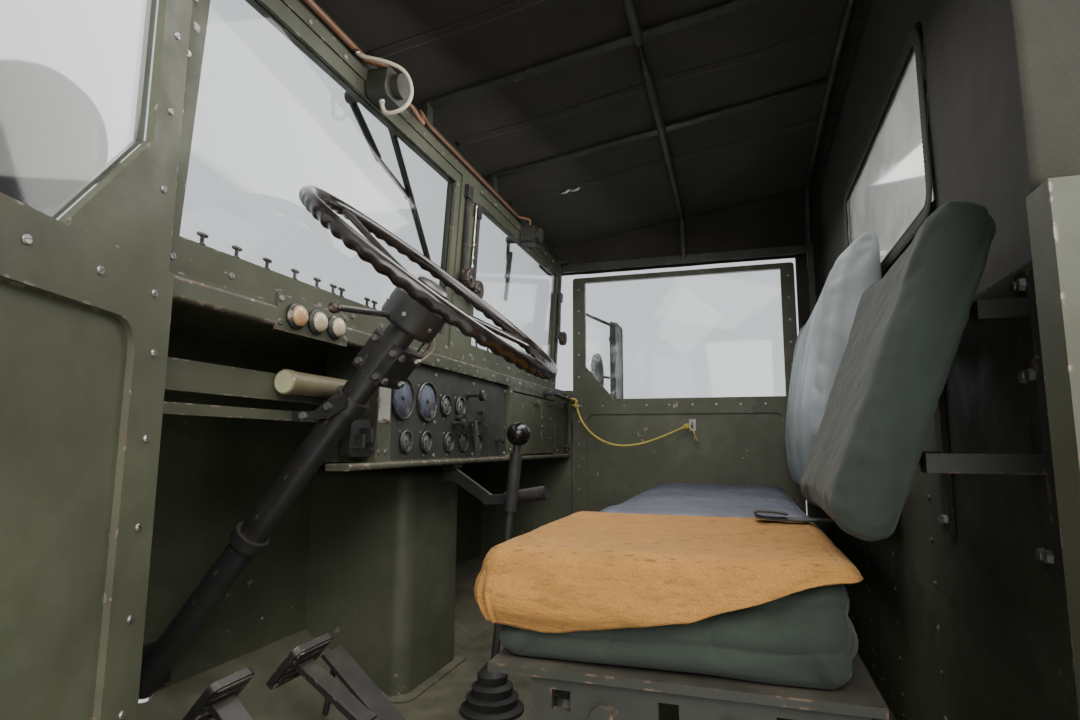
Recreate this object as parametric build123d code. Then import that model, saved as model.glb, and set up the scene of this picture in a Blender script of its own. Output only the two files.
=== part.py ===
"""Cab of a military truck, with its interior: shell, soft top, dash, seats and doors.

The frame: +X is the driver's side (left), +Y the back, +Z up, in millimetres.
The origin is the centre of the four cab mount holes under the sills.
"""
from build123d import *
import os
from math import atan2, cos, degrees, hypot, radians, sin, tan

os.makedirs("parts", exist_ok=True)

# Cab shell
HALF_W = 985.0            # outer face of body sides and doors, from the centre plane
SIDE_T = 38.0             # whole thickness of a door or a body side
SHEET = 12.0              # ribbed sheet of cowl and firewall
FLOOR_Z = 110.0           # top of the floor
FLOOR_T = 14.0            # floor sheet
FIREWALL_Y = -893.0       # inner face of the firewall
TOE_Y = -650.0            # foot of the toe board
TOE_Z = 239.0             # toe board's height at the firewall
REAR_Y = 430.0            # inner face of the rear wall
REAR_T = 25.0             # rear wall
REAR_TOP = 880.0          # top edge of the metal rear wall
CORNER_R = 60.0           # rear corners in plan
COWL_TOP = 905.0          # upper face of the cowl
SEAT_GAP = 0.3            # gap between seated pieces
FLOOR_SIDE = 7.0          # floor edge to door's inner face
ROCKER_Z0 = 40.0
ROCKER_Z1 = 56.0
INNER_X = HALF_W - SIDE_T
FLOOR_X = INNER_X - FLOOR_SIDE

# Cab mounts under the sills
MOUNT_X = 430.0           # half of the spacing across
MOUNT_Y = 330.0           # half of the spacing along
MOUNT_R = 9.0
SILL_W = 80.0
SILL_WALL = 6.0
SILL_FRONT = -640.0
CROSS_Z = 36.0            # underside of the cross members
CROSS_W = 60.0

# Engine tunnel cover
TUNNEL_HALF = 150.0
TUNNEL_REAR = -620.0
TUNNEL_TOP = 622.0
TUNNEL_T = 5.0
TUNNEL_R = 38.0
TUNNEL_BEND = 20.0        # outer bend of the roof's edges

# Windscreen, drawn upright and then leaned back
WS_LEAN = 3.4             # degrees
WS_Y = -571.4             # inner face at the cowl top
WS_T = 30.0
WS_H = 512.0
WS_HALF = HALF_W - 60.0   # the frame stands in from the body side
PANE_X0 = 85.0            # clear pane edges from the centre plane
PANE_X1 = WS_HALF - 45.0
PANE_Z0 = 57.0            # clear pane edges above the cowl top
PANE_Z1 = WS_H - 50.0
PANE_RAIL = 28.0          # pane frame's width
GLASS_T = 6.0
ARM_R = 7.0
KNOB_R = 17.0

# Soft top
ROOF_EDGE_Z = COWL_TOP + WS_H + 95.0   # roof bend at ROOF_EDGE_Y
ROOF_EDGE_Y = -458.0
ROOF_SLOPE = 0.15
ROOF_EDGE_X = WS_HALF - 35.0
ROOF_CROWN = 38.0
ROOF_FRONT = -612.0
SKIRT_X = WS_HALF + 37.0
SKIRT_Z = COWL_TOP + WS_H - 31.0
CANVAS_T = 8.0
RAIL_H = 31.0             # side rail of the bows
RAIL_T = 12.0
HEADER_Y = WS_Y + WS_H * sin(radians(WS_LEAN)) - 12.0   # rear face of the header rail
BOW_R = 11.0
BOW_Y = -50.0
STRAP_X = 218.0
WINDOW_HALF = 380.0       # rear window
WINDOW_Z0 = SKIRT_Z - 306.0
WINDOW_Z1 = SKIRT_Z - 6.0

# Dash
DASH_FACE = -522.0        # rear face of the fascia
FASCIA_T = 12.0
DASH_TOP = 893.0
BAND_H = 30.0             # rounded rail along the dash's top
LIP_Z = 640.0
LIP_H = 12.0
FASCIA_Z0 = 652.0
CLUSTER_X0 = -268.0       # opening of the instrument recess
CLUSTER_X1 = 410.0
PILLAR_X1 = 459.0         # left end of the fascia
DASH_SIDE = 7.0           # dash end to the body side's inner face
DASH_HALF = INNER_X - DASH_SIDE
BOX_X0 = -745.0           # glovebox opening
BOX_X1 = -290.0
LID_GAP = 5.0
LID_AXIS_Z = 661.0
BAR_FACE = -584.0         # rear face of the two flat bars in the open left bay
HIGH_BAR = (757.0, 800.0)
LOW_BAR = (725.0, 741.0)

# Steering
WHEEL_C = (590.0, -338.0, 950.0)
WHEEL_TILT = 38.97        # degrees, axis from upright towards the back
WHEEL_R = 237.6           # rim centre line
RIM_R = 12.0
SHAFT_R = 11.0
JACKET_R = 24.0
SHAFT_OUT = 40.0          # full-size shaft past the firewall
SHAFT_TIP_R = 9.5         # turned-down end for the joint of the steering gear
SHAFT_TIP = 50.0

# Doors, drawn closed and outboard
DOOR_Y0 = -505.0
DOOR_Y1 = 348.0
DOOR_Z0 = 62.0
DOOR_Z1 = SKIRT_Z - 16.0
BELT_Z = 868.0
WIN_Y0 = -455.0
WIN_Y1 = 300.0
WIN_Z1 = DOOR_Z1 - 20.0
WIN_CUT_Y = 116.0         # sloping lower front corner of the window
WIN_CUT_Z = 135.0
DOOR_GAP = 6.0            # gap around a closed door
HINGE_X = HALF_W + 17.0
HINGE_Y = -508.0
HINGE_PIN_R = 6.0
HINGE_EYE_R = 12.0
HINGE_H = 50.0
HINGE_ZS = (250.0, 740.0)
OPEN_DEG = 70.0           # how far the left door stands open

# Seats
SEAT_X0 = 350.0
SEAT_X1 = 802.0
SEAT_Y0 = -175.0
SEAT_Y1 = 262.0
SEAT_TOP = 569.0
SEAT_BOTTOM = 436.0
COVER_T = 12.0
BACK_FOOT = (212.0, 592.0)   # y, z of the back cushion's lower front edge
BACK_LEAN = 20.0
BACK_T = 70.0
BENCH_SIDE = 15.0         # bench end to the door's inner face
BENCH_X0 = -(INNER_X - BENCH_SIDE)
BENCH_X1 = 120.0
BENCH_Y0 = -192.0
BENCH_Y1 = 288.0
BENCH_TOP = 550.0
BENCH_T = 78.0

# Grab handle and the rope tied to it
GRAB_X1 = -(INNER_X - 35.0)
GRAB_X0 = GRAB_X1 + 312.0
GRAB_Y = -484.0
GRAB_Z0 = 867.0
GRAB_Z1 = 852.0
GRAB_R = 8.0
LOOP_X = GRAB_X1 + 32.0
ROPE_R = 4.0


def block(x0, x1, y0, y1, z0, z1):
    """Box between two corners."""
    size = Box(abs(x1 - x0), abs(y1 - y0), abs(z1 - z0))
    return Pos((x0 + x1) / 2, (y0 + y1) / 2, (z0 + z1) / 2) * size


def rod(a, b, radius):
    """Round bar between two points."""
    a, b = Vector(*a), Vector(*b)
    plane = Plane(origin=a, z_dir=b - a)
    return extrude(plane * Circle(radius), (b - a).length)


def bar(a, b, width, thick, flat=(0, 0, 1)):
    """Flat bar between two points, its thickness along the direction flat."""
    a, b = Vector(*a), Vector(*b)
    run = b - a
    plane = Plane(origin=a, x_dir=run.cross(Vector(*flat)), z_dir=run)
    return extrude(plane * Rectangle(width, thick), run.length)


def profile_x(points, x0, x1):
    """Prism along X over a (y, z) outline."""
    face = make_face(Polyline([(0, y, z) for y, z in points], close=True))
    return Pos(x0, 0, 0) * extrude(face, x1 - x0, dir=(1, 0, 0))


def profile_y(points, y0, y1):
    """Prism along Y over an (x, z) outline."""
    face = make_face(Polyline([(x, 0, z) for x, z in points], close=True))
    return Pos(0, y0, 0) * extrude(face, y1 - y0, dir=(0, 1, 0))


def edges_along(shape, axis):
    return shape.edges().filter_by(axis)


def rounded(x0, x1, y0, y1, z0, z1, axis, radius):
    """Box with the four edges along one axis rounded."""
    shape = block(x0, x1, y0, y1, z0, z1)
    return fillet(edges_along(shape, axis), radius)


def pillow(x0, x1, y0, y1, z0, z1, radius):
    """Box with every edge rounded, for a soft piece."""
    shape = block(x0, x1, y0, y1, z0, z1)
    return fillet(shape.edges(), radius)


def ball(radius):
    """Ball of few faces with flat poles, turned from an eight-sided outline."""
    k = radius * tan(radians(22.5))
    pts = [(0, -radius), (k, -radius), (radius, -k), (radius, k), (k, radius), (0, radius)]
    return revolve(make_face(Polyline([(r, 0, z) for r, z in pts], close=True)), Axis.Z, 360)


def mirror_x(shape):
    return mirror(shape, Plane.YZ)


def bent_rod(points, radius, bend):
    """Round bar along straight runs joined by equal arcs."""
    path = FilletPolyline(*points, radius=bend)
    start = Plane(origin=path @ 0, z_dir=path % 0)
    return sweep(start * Circle(radius), path=path)


def save(name, shape):
    """Write one node; loose solids of a node are kept in one compound."""
    solids = shape.solids() if hasattr(shape, "solids") else ShapeList(shape).solids()
    whole = solids[0] if len(solids) == 1 else Compound(children=list(solids))
    export_step(whole, f"parts/{name}.step")


DOORWAY_Y0 = DOOR_Y0 - DOOR_GAP
DOORWAY_Y1 = DOOR_Y1 + DOOR_GAP
TOE_SLOPE = (TOE_Z - FLOOR_Z) / (TOE_Y - FIREWALL_Y)


# Steering axis and its local frame: local +Z is up the column, +Y towards the driver
STEER = Pos(*WHEEL_C) * Rot(-WHEEL_TILT, 0, 0)
COLUMN_RUN = (WHEEL_C[1] - FIREWALL_Y) / sin(radians(WHEEL_TILT))
HUB_DROP = 30.0           # underside of the hub below the rim plane
HUB_RISE = 12.0           # its top, under the horn button
HOUSING_H = 54.0
HOUSING_R = 50.0


def column_cutter(radius):
    """Clearance hole along the steering axis through floor and firewall."""
    length = COLUMN_RUN + 200
    return STEER * Pos(0, 0, -length / 2 - 300) * Cylinder(radius, length)


def tunnel_inside():
    inner = TUNNEL_HALF - TUNNEL_T
    shape = block(-inner, inner, FIREWALL_Y - 40, TUNNEL_REAR - TUNNEL_T, -20, TUNNEL_TOP - TUNNEL_T)
    shape = fillet(shape.edges().filter_by(Axis.Z).group_by(Axis.Y)[-1], TUNNEL_R - TUNNEL_T)
    top_edges = shape.faces().sort_by(Axis.Z)[-1].edges()
    return fillet(top_edges.filter_by_position(Axis.Y, FIREWALL_Y - 30, TUNNEL_REAR + 1), TUNNEL_BEND - TUNNEL_T)


def make_floor():
    """Floor and toe board with pressed ribs, turned down at the sides to the rockers."""
    top = [(REAR_Y - SEAT_GAP, FLOOR_Z), (TOE_Y, FLOOR_Z), (FIREWALL_Y + SEAT_GAP, TOE_Z)]
    low = [(y, z - FLOOR_T) for y, z in reversed(top)]
    floor = profile_x(top + low, -FLOOR_X, FLOOR_X)
    floor = fillet(floor.edges().filter_by(Axis.Z).group_by(Axis.Y)[-1], CORNER_R - REAR_T)
    rib_w, rib_h, rib_y0, rib_y1 = 24.0, 4.0, -560.0, -215.0
    for x in (-820, -660, -500, -340, 250, 400, 602, 810):
        floor += block(x - rib_w / 2, x + rib_w / 2, rib_y0, rib_y1, FLOOR_Z - 1, FLOOR_Z + rib_h)
    for side in (-1, 1):
        edge, out = side * (FLOOR_X - SHEET), side * FLOOR_X
        floor += block(edge, out, DOORWAY_Y0, DOORWAY_Y1, ROCKER_Z0, FLOOR_Z - 1)
        floor += block(edge, side * HALF_W, DOORWAY_Y0 + 1, DOORWAY_Y1 - 1, ROCKER_Z0, ROCKER_Z1)
    return floor - tunnel_inside() - column_cutter(JACKET_R + 3)


def make_sills():
    """Two box sills with the mount holes, joined by three cross members."""
    top = FLOOR_Z - FLOOR_T
    sills = Part()
    for y in (SILL_FRONT + 60, -100.0, REAR_Y - 60):
        member = block(-FLOOR_X + 20, FLOOR_X - 20, y - CROSS_W / 2, y + CROSS_W / 2, CROSS_Z, top)
        hollow = block(-FLOOR_X, FLOOR_X, y - CROSS_W / 2 + SILL_WALL, y + CROSS_W / 2 - SILL_WALL,
                       CROSS_Z + SILL_WALL, top - SILL_WALL)
        sills += member - hollow
    for side in (-1, 1):
        x0, x1 = side * MOUNT_X - SILL_W / 2, side * MOUNT_X + SILL_W / 2
        sills -= block(x0, x1, SILL_FRONT, REAR_Y, 0, top)
        sill = block(x0, x1, SILL_FRONT, REAR_Y - SEAT_GAP, 0, top)
        sill -= block(x0 + SILL_WALL, x1 - SILL_WALL, SILL_FRONT - 1, REAR_Y + 1, SILL_WALL, top - SILL_WALL)
        for y in (-MOUNT_Y, MOUNT_Y):
            sill -= Pos(side * MOUNT_X, y, SILL_WALL / 2) * Cylinder(MOUNT_R, SILL_WALL * 3)
        sills += sill
    return sills - tunnel_inside()


def make_cowl():
    """Firewall, kick panels and top, with the hinge lugs of both doors."""
    low = FLOOR_Z - FLOOR_T
    out = FIREWALL_Y - SHEET
    side_outline = [(DOORWAY_Y0, 20), (DOORWAY_Y0, COWL_TOP), (out, COWL_TOP),
                    (out, TOE_Z - FLOOR_T), (TOE_Y - 10, low), (TOE_Y + 30, 20)]
    cowl = profile_x(side_outline, INNER_X, HALF_W) + profile_x(side_outline, -HALF_W, -INNER_X)
    wall = block(-INNER_X, INNER_X, out, FIREWALL_Y, TOE_Z - FLOOR_T, COWL_TOP - SHEET)
    for x in (-700, -440, 350, 780):
        wall += block(x - 15, x + 15, out - 5, out + 1, 330, 800)
    wall -= tunnel_inside()
    cowl += wall
    lid = block(-HALF_W, HALF_W, out, -545, COWL_TOP - SHEET, COWL_TOP)
    front = lid.edges().filter_by(Axis.X).group_by(Axis.Y)[0].sort_by(Axis.Z)[-1]
    cowl += fillet([front], 8)
    cowl -= column_cutter(JACKET_R + 3)
    for side in (-1, 1):
        for z in HINGE_ZS:
            cowl += hinge_lugs(side, z)
    return cowl


def hinge_lugs(side, z):
    """Two ears and a pin on the body side that carry one door strap."""
    reach = HINGE_H / 2
    plate = block(HALF_W - 1, HALF_W + 6, HINGE_Y - 75, HINGE_Y - 14, z - reach - 16, z + reach + 16)
    shape = plate
    for z0 in (z - reach - 9, z + reach + 1):
        ear = block(HALF_W, HINGE_X + HINGE_EYE_R, HINGE_Y - 50, HINGE_Y - 10, z0, z0 + 8)
        ear += Pos(HINGE_X, HINGE_Y, z0 + 4) * Cylinder(HINGE_EYE_R, 8)
        ear += block(HINGE_X - HINGE_EYE_R, HINGE_X + HINGE_EYE_R, HINGE_Y - 12, HINGE_Y, z0, z0 + 8)
        shape += ear
    shape += Pos(HINGE_X, HINGE_Y, z) * Cylinder(HINGE_PIN_R, HINGE_H + 30)
    return shape if side > 0 else mirror_x(shape)


def make_tunnel():
    """Cover over the back of the engine, rounded and standing on floor and toe board."""
    outer = block(-TUNNEL_HALF, TUNNEL_HALF, FIREWALL_Y + SEAT_GAP, TUNNEL_REAR, -20, TUNNEL_TOP)
    outer = fillet(outer.edges().filter_by(Axis.Z).group_by(Axis.Y)[-1], TUNNEL_R)
    top_edges = outer.faces().sort_by(Axis.Z)[-1].edges()
    outer = fillet(top_edges.filter_by_position(Axis.Y, FIREWALL_Y + 5, TUNNEL_REAR + 1), TUNNEL_BEND)
    shell = outer - tunnel_inside()
    rest = FLOOR_Z + SEAT_GAP
    under = [(REAR_Y, rest), (TOE_Y, rest), (FIREWALL_Y - 1, TOE_Z + 2 * SEAT_GAP + TOE_SLOPE),
             (FIREWALL_Y - 1, -60), (REAR_Y, -60)]
    shell -= profile_x(under, -400, 400)
    flange = 26.0
    foot = [(TUNNEL_REAR + flange, rest), (TUNNEL_REAR + flange, rest + 4), (TOE_Y + 1, rest + 4), (TOE_Y + 1, rest)]
    rim = profile_x(foot, -TUNNEL_HALF - flange, TUNNEL_HALF + flange)
    rim = fillet(rim.edges().filter_by(Axis.Z).group_by(Axis.Y)[-1], TUNNEL_R)
    return shell + (rim - tunnel_inside())


def make_rear_wall():
    """Rear panel with its returns forward to the door openings, in one bent sheet."""
    outer = block(-HALF_W, HALF_W, DOORWAY_Y1, REAR_Y + REAR_T, 20, REAR_TOP)
    outer = fillet(outer.edges().filter_by(Axis.Z).group_by(Axis.Y)[-1], CORNER_R)
    inner = block(-INNER_X, INNER_X, DOORWAY_Y1 - 1, REAR_Y, 0, REAR_TOP + 20)
    inner = fillet(inner.edges().filter_by(Axis.Z).group_by(Axis.Y)[-1], CORNER_R - REAR_T)
    wall = outer - inner
    for x0, x1 in ((-800, -300), (-240, 240), (300, 800)):
        wall += rounded(x0, x1, REAR_Y + REAR_T - 1, REAR_Y + REAR_T + 5, 250, 780, Axis.Y, 40)
    return wall


WS = Pos(0, WS_Y, COWL_TOP) * Rot(-WS_LEAN, 0, 0)
PANE_CLEAR = PANE_RAIL + SEAT_GAP


def make_windshield_frame():
    """Outer frame with two openings, its mullion and its feet on the cowl."""
    frame = block(-WS_HALF, WS_HALF, -WS_T, 0, 0, WS_H)
    frame = fillet(frame.edges().filter_by(Axis.Y).group_by(Axis.Z)[-1], 18)
    for side in (-1, 1):
        frame -= block(side * (PANE_X0 - PANE_CLEAR), side * (PANE_X1 + PANE_CLEAR), -WS_T - 1, 1,
                       PANE_Z0 - PANE_CLEAR, PANE_Z1 + PANE_CLEAR)
        frame += block(side * (PANE_X1 - 80), side * PANE_X1, -WS_T - 16, -WS_T + 1, 4, 24)
    return WS * frame


def make_pane_frame(side):
    """Inner frame of one pane with the boss that holds its wiper."""
    ring = block(PANE_X0 - PANE_RAIL, PANE_X1 + PANE_RAIL, -WS_T - 3, -4, PANE_Z0 - PANE_RAIL, PANE_Z1 + PANE_RAIL)
    ring -= block(PANE_X0, PANE_X1, -WS_T - 10, 10, PANE_Z0, PANE_Z1)
    groove = GLASS_T + 2 * SEAT_GAP
    ring -= block(PANE_X0 - 8, PANE_X1 + 8, -WS_T / 2 - groove / 2, -WS_T / 2 + groove / 2, PANE_Z0 - 8, PANE_Z1 + 8)
    return WS * (ring if side > 0 else mirror_x(ring))


def make_pane_glass(side):
    reach = 7.0
    pane = block(PANE_X0 - reach, PANE_X1 + reach, -WS_T / 2 - GLASS_T / 2, -WS_T / 2 + GLASS_T / 2,
                 PANE_Z0 - reach, PANE_Z1 + reach)
    return WS * (pane if side > 0 else mirror_x(pane))


def make_pane_arms():
    """Three adjusting arms: slotted links with clamp knobs, two on the mullion and one at the pillar."""
    arms = Part()
    rows = (("mullion left", 24, 24, 460, 226), ("mullion right", -42, -34, 430, 206), ("pillar", -PANE_X1 - 22, -PANE_X1 - 22, 380, 216))
    for name, x_top, x_low, z_top, z_low in rows:
        link = bar((x_top, 4, z_top), (x_low, 10, z_low), 18, 6, (0, 1, 0))
        knob = Pos(x_low, 22, z_low) * Rot(90, 0, 0) * Cylinder(KNOB_R, 18)
        foot = block(x_top - 16, x_top + 16, SEAT_GAP, 12, z_top - 22, z_top + 14)
        stem = block(x_low - 9, x_low + 9, SEAT_GAP, 16, z_low - 9, z_low + 9)
        arms += foot + link + knob + stem
    return WS * arms


WIPERS = (   # pivot x, pivot z, arm bend x, z, rod end x, z, blade top x, z, blade low x, z
    (489, WS_H - 36, 375, WS_H - 117, 250, WS_H - 152, 357, WS_H - 32, 137, WS_H - 277),
    (-430, WS_H - 42, -424, WS_H - 112, -414, WS_H - 172, -424, WS_H - 87, -404, WS_H - 257),
)


def make_wipers():
    """Outside wipers: pivot, wide arm, rod and blade carrier over each pane."""
    wipers = Part()
    out = -WS_T - 3
    for px, pz, bx, bz, ex, ez, tx, tz, lx, lz in WIPERS:
        wipers += Pos(px, out - 14, pz) * Rot(90, 0, 0) * Cylinder(12, 28 - 2 * SEAT_GAP)
        wipers += bar((px, out - 22, pz), (bx, out - 18, bz), 20, 5, (0, 1, 0))
        wipers += bar((bx, out - 18, bz), (ex, out - 14, ez), 10, 4, (0, 1, 0))
        wipers += bar((tx, out - 8, tz), (lx, out - 8, lz), 12, 10, (0, 1, 0))
        wipers += Pos(ex, out - 11, ez) * Rot(90, 0, 0) * Cylinder(8, 16)
    return WS * wipers


def make_wiper_motors():
    """Air motors inside the header, each a rounded body with a round cover."""
    motors = Part()
    for px, pz, *rest in WIPERS:
        body = rounded(px - 50, px + 24, SEAT_GAP, 44, pz - 14, pz + 46, Axis.Y, 14)
        body += Pos(px - 14, 52, pz + 18) * Rot(90, 0, 0) * Cylinder(24, 18)
        body += Pos(px - 62, 24, pz + 28) * Rot(0, 90, 0) * Cylinder(9, 28)
        motors += body
    return WS * motors


def ws_point(x, y, z):
    """Point of the leaned windscreen's frame, in the cab's frame."""
    return (WS * Pos(x, y, z)).position


def make_header_hoses():
    """Air pipes clipped behind the header rail: pillar to left motor, then on to the right motor."""
    z = COWL_TOP + WS_H + 23
    thick, thin = 7.0, 5.0
    (left_x, left_z), (right_x, right_z) = ((row[0], row[1]) for row in WIPERS)
    top = 46 + 2 * SEAT_GAP
    entry = ws_point(left_x - 4, 24, left_z + top)
    y = HEADER_Y + thick + SEAT_GAP
    x = PANE_X1 - 14
    main = bent_rod([(x, HEADER_Y + 30, z - 120), (x - 2, HEADER_Y + 30, z - 30), (x - 36, y, z), (left_x + 30, y, z),
                     (left_x - 4, entry.Y, z), (left_x - 4, entry.Y, entry.Z)], thick, 9)
    out = ws_point(left_x - 76 - SEAT_GAP, 26, left_z + 28)
    back = ws_point(right_x + 4, 24, right_z + top)
    y = HEADER_Y + thin + SEAT_GAP
    link = bent_rod([(out.X, out.Y, out.Z), (out.X - 34, out.Y, out.Z), (out.X - 56, out.Y + 16, out.Z - 30),
                     (out.X - 104, y + 12, z), (out.X - 170, y, z), (right_x + 40, y, z),
                     (right_x + 4, back.Y, z), (right_x + 4, back.Y, back.Z)], thin, 8)
    return Compound(children=[main, link])


def make_wiper_hose():
    """Pale slack hose from the header pipe round to the underside of the left motor."""
    z = COWL_TOP + WS_H + 23 - 7 - SEAT_GAP
    y = HEADER_Y + 12
    left_x, left_z = WIPERS[0][:2]
    low = ws_point(left_x + 4, 26, left_z - 14 - 2 * SEAT_GAP)
    points = [(left_x + 63, y, z), (left_x + 63, y, z - 12), (left_x + 38, y + 45, z - 10), (left_x + 6, y + 76, z - 16),
              (left_x - 24, y + 78, z - 36), (left_x - 28, y + 76, z - 66), (left_x - 14, y + 62, z - 96),
              (low.X, low.Y, z - 104), (low.X, low.Y, low.Z)]
    return bent_rod(points, 5.0, 9)


def roof_z(y):
    return ROOF_EDGE_Z + ROOF_SLOPE * (y - ROOF_EDGE_Y)


def top_section(y, inset):
    """Closed (x, z) outline of the top at one station: leaning sides, rounded bends, crowned roof."""
    edge_z = roof_z(y) - inset
    sx, bx = SKIRT_X - inset, ROOF_EDGE_X - inset
    low_left = (-sx, y, SKIRT_Z - (20 if inset else 0))
    low_right = (sx, low_left[1], low_left[2])
    left, right, crown = (-bx, y, edge_z), (bx, y, edge_z), (0, y, edge_z + ROOF_CROWN)
    outline = Wire([Line(low_right, low_left), Line(low_left, left),
                    ThreePointArc(left, crown, right), Line(right, low_right)])
    return make_face(outline)


def make_soft_top():
    """Canvas hood from the windscreen header back over the cab, closed behind, with its window cut."""
    back = REAR_Y + REAR_T
    hood = loft([top_section(ROOF_FRONT, 0), top_section(back, 0)], ruled=True)
    hollow = loft([top_section(ROOF_FRONT + CANVAS_T, CANVAS_T), top_section(back - CANVAS_T, CANVAS_T)], ruled=True)
    quarter = block(-SKIRT_X, SKIRT_X, DOORWAY_Y1, back, REAR_TOP + 0.5, SKIRT_Z + 1)
    quarter = fillet(quarter.edges().filter_by(Axis.Z).group_by(Axis.Y)[-1], CORNER_R - 10)
    room = block(-SKIRT_X + CANVAS_T, SKIRT_X - CANVAS_T, DOORWAY_Y1 - 1, back - CANVAS_T, REAR_TOP, SKIRT_Z + 2)
    room = fillet(room.edges().filter_by(Axis.Z).group_by(Axis.Y)[-1], CORNER_R - 10 - CANVAS_T)
    canvas = (hood + quarter) - hollow - room
    canvas -= block(-WS_HALF - 3, WS_HALF + 3, ROOF_FRONT - 1, -540, SKIRT_Z - 5, COWL_TOP + WS_H + 2)
    hole = rounded(-WINDOW_HALF, WINDOW_HALF, back - 40, back + 5, WINDOW_Z0, WINDOW_Z1, Axis.Y, 30)
    return canvas - hole


def make_rear_window():
    """Clear sheet sewn inside the rear opening."""
    back = REAR_Y + REAR_T - CANVAS_T - SEAT_GAP
    lap = 22.0
    return rounded(-WINDOW_HALF - lap, WINDOW_HALF + lap, back - 2, back, WINDOW_Z0 - lap, WINDOW_Z1 + lap, Axis.Y, 30)


def bow_path(y, drop):
    """Bow under the canvas: up from the side rail, over the crown and down again."""
    z = roof_z(y) - drop
    x = ROOF_EDGE_X - drop - 4
    foot = (RAIL_X - RAIL_T / 2, y, SKIRT_Z + RAIL_H - 8)
    left_foot = (-foot[0], foot[1], foot[2])
    side_r = Line(foot, (x, y, z))
    roof = ThreePointArc((x, y, z), (0, y, z + ROOF_CROWN), (-x, y, z))
    side_l = Line((-x, y, z), left_foot)
    return side_r, roof, side_l


RAIL_X = WS_HALF - 3.0


def make_bows():
    """Side rails, header rail, two bows, two roof straps and the rear posts, all welded together."""
    drop = CANVAS_T + BOW_R + 6
    frame = Part()
    post_y = REAR_Y - 40
    rail_z0, rail_z1 = SKIRT_Z + 2, SKIRT_Z + 2 + RAIL_H
    header_z = COWL_TOP + WS_H + 1
    for side in (-1, 1):
        x0, x1 = side * (RAIL_X - RAIL_T), side * RAIL_X
        frame += block(x0, x1, HEADER_Y + 16, post_y + 10, rail_z0, rail_z1)
        frame += block(side * (RAIL_X - 34), x1, post_y, post_y + 20, REAR_TOP - 120, rail_z1)
        frame += block(side * (RAIL_X - 42), side * (RAIL_X - 10), HEADER_Y - 22, HEADER_Y + 43, header_z, header_z + 8)
    frame += block(40 - WS_HALF, WS_HALF - 40, HEADER_Y - 22, HEADER_Y, header_z, header_z + 40)
    for y in (BOW_Y, post_y + 10):
        for run in bow_path(y, drop):
            frame += sweep(Plane(origin=run @ 0, z_dir=run % 0) * Circle(BOW_R), path=run)
        for side in (-1, 1):
            corner = bow_path(y, drop)[0] @ 1
            frame += Pos(side * corner.X, corner.Y, corner.Z) * Sphere(BOW_R)
    for side in (-1, 1):
        x = side * STRAP_X
        rise = ROOF_CROWN * (1 - (STRAP_X / ROOF_EDGE_X) ** 2) - drop
        ends = [(y, roof_z(y) + rise) for y in (HEADER_Y - 13, post_y + 10)]
        band = [(ends[0][0], ends[0][1] - 2), (ends[1][0], ends[1][1] - 2),
                (ends[1][0], ends[1][1] + 4), (ends[0][0], ends[0][1] + 4)]
        frame += profile_x(band, x - 14, x + 14)
        frame += block(x - 14, x + 14, HEADER_Y - 17, HEADER_Y - 5, header_z + 30, ends[0][1] + 2)
    return frame


GAUGES = (   # x, z, bezel radius
    (347, 782, 46), (239, 782, 46), (146, 780, 27), (64, 780, 27),
    (329, 693, 25), (241, 693, 25), (125, 693, 25), (39, 693, 25), (-50, 693, 25),
)
PANEL_FACE = DASH_FACE - FASCIA_T - SEAT_GAP
PANEL_T = 8.0


def make_dash_panel():
    """Top rail, fascia with its openings, lower lip and the bars of the open left bay."""
    back = DASH_FACE - FASCIA_T
    top = COWL_TOP - SHEET
    dash = block(-DASH_HALF, DASH_HALF, -572, DASH_FACE - 4, top - SHEET, top)
    band = block(-DASH_HALF, DASH_HALF, back, DASH_FACE, top - BAND_H, top)
    band = fillet(band.edges().filter_by(Axis.X).group_by(Axis.Y)[-1], 5)
    dash += band
    fascia = block(-DASH_HALF, PILLAR_X1, back, DASH_FACE, FASCIA_Z0 - 2, top - BAND_H + 2)
    fascia -= rounded(CLUSTER_X0, CLUSTER_X1, back - 1, DASH_FACE + 1, FASCIA_Z0 + 2, top - BAND_H, Axis.Y, 8)
    fascia -= block(BOX_X0, BOX_X1, back - 1, DASH_FACE + 1, LID_AXIS_Z - 11, LID_TOP + LID_GAP)
    dash += fascia
    lip = block(-DASH_HALF, WHEEL_C[0] - JACKET_R - 8, -560, DASH_FACE + 12, LIP_Z, FASCIA_Z0)
    lip = fillet(lip.edges().filter_by(Axis.X).group_by(Axis.Y)[-1], 5)
    dash += lip
    dash += block(PILLAR_X1 - 6, PILLAR_X1, -640, back + 1, FASCIA_Z0, top - SHEET + 1)
    for z0, z1 in (HIGH_BAR, LOW_BAR):
        dash += block(PILLAR_X1 - 2, INNER_X - 0.5, BAR_FACE - 8, BAR_FACE, z0, z1)
    dash += block(LAMP_X0, LAMP_X1, DASH_FACE - 6, DASH_FACE, top - BAND_H - 6, top + 20)
    for x in (BOX_X0 - 2, BOX_X1 + 2):
        dash -= Pos(x, LID_Y, LID_AXIS_Z) * Rot(0, 90, 0) * Cylinder(4.15, 22)
    for side in (-1, 1):
        dash += block(side * (DASH_HALF - 10), side * (INNER_X - 0.5), -560, -540, FASCIA_Z0, top)
    return dash


LID_TOP = 846.0
LID_Y = DASH_FACE - FASCIA_T / 2
LAMP_X0, LAMP_X1 = 566.0, 744.0


def make_instrument_panel():
    """Plate behind the fascia's opening, drilled for the gauge cans."""
    plate = block(CLUSTER_X0 - 12, CLUSTER_X1 + 14, PANEL_FACE - PANEL_T, PANEL_FACE, FASCIA_Z0 + SEAT_GAP, 862)
    for x, z, r in GAUGES:
        plate -= Pos(x, PANEL_FACE, z) * Rot(90, 0, 0) * Cylinder(r - 5, 40)
    return plate


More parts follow.
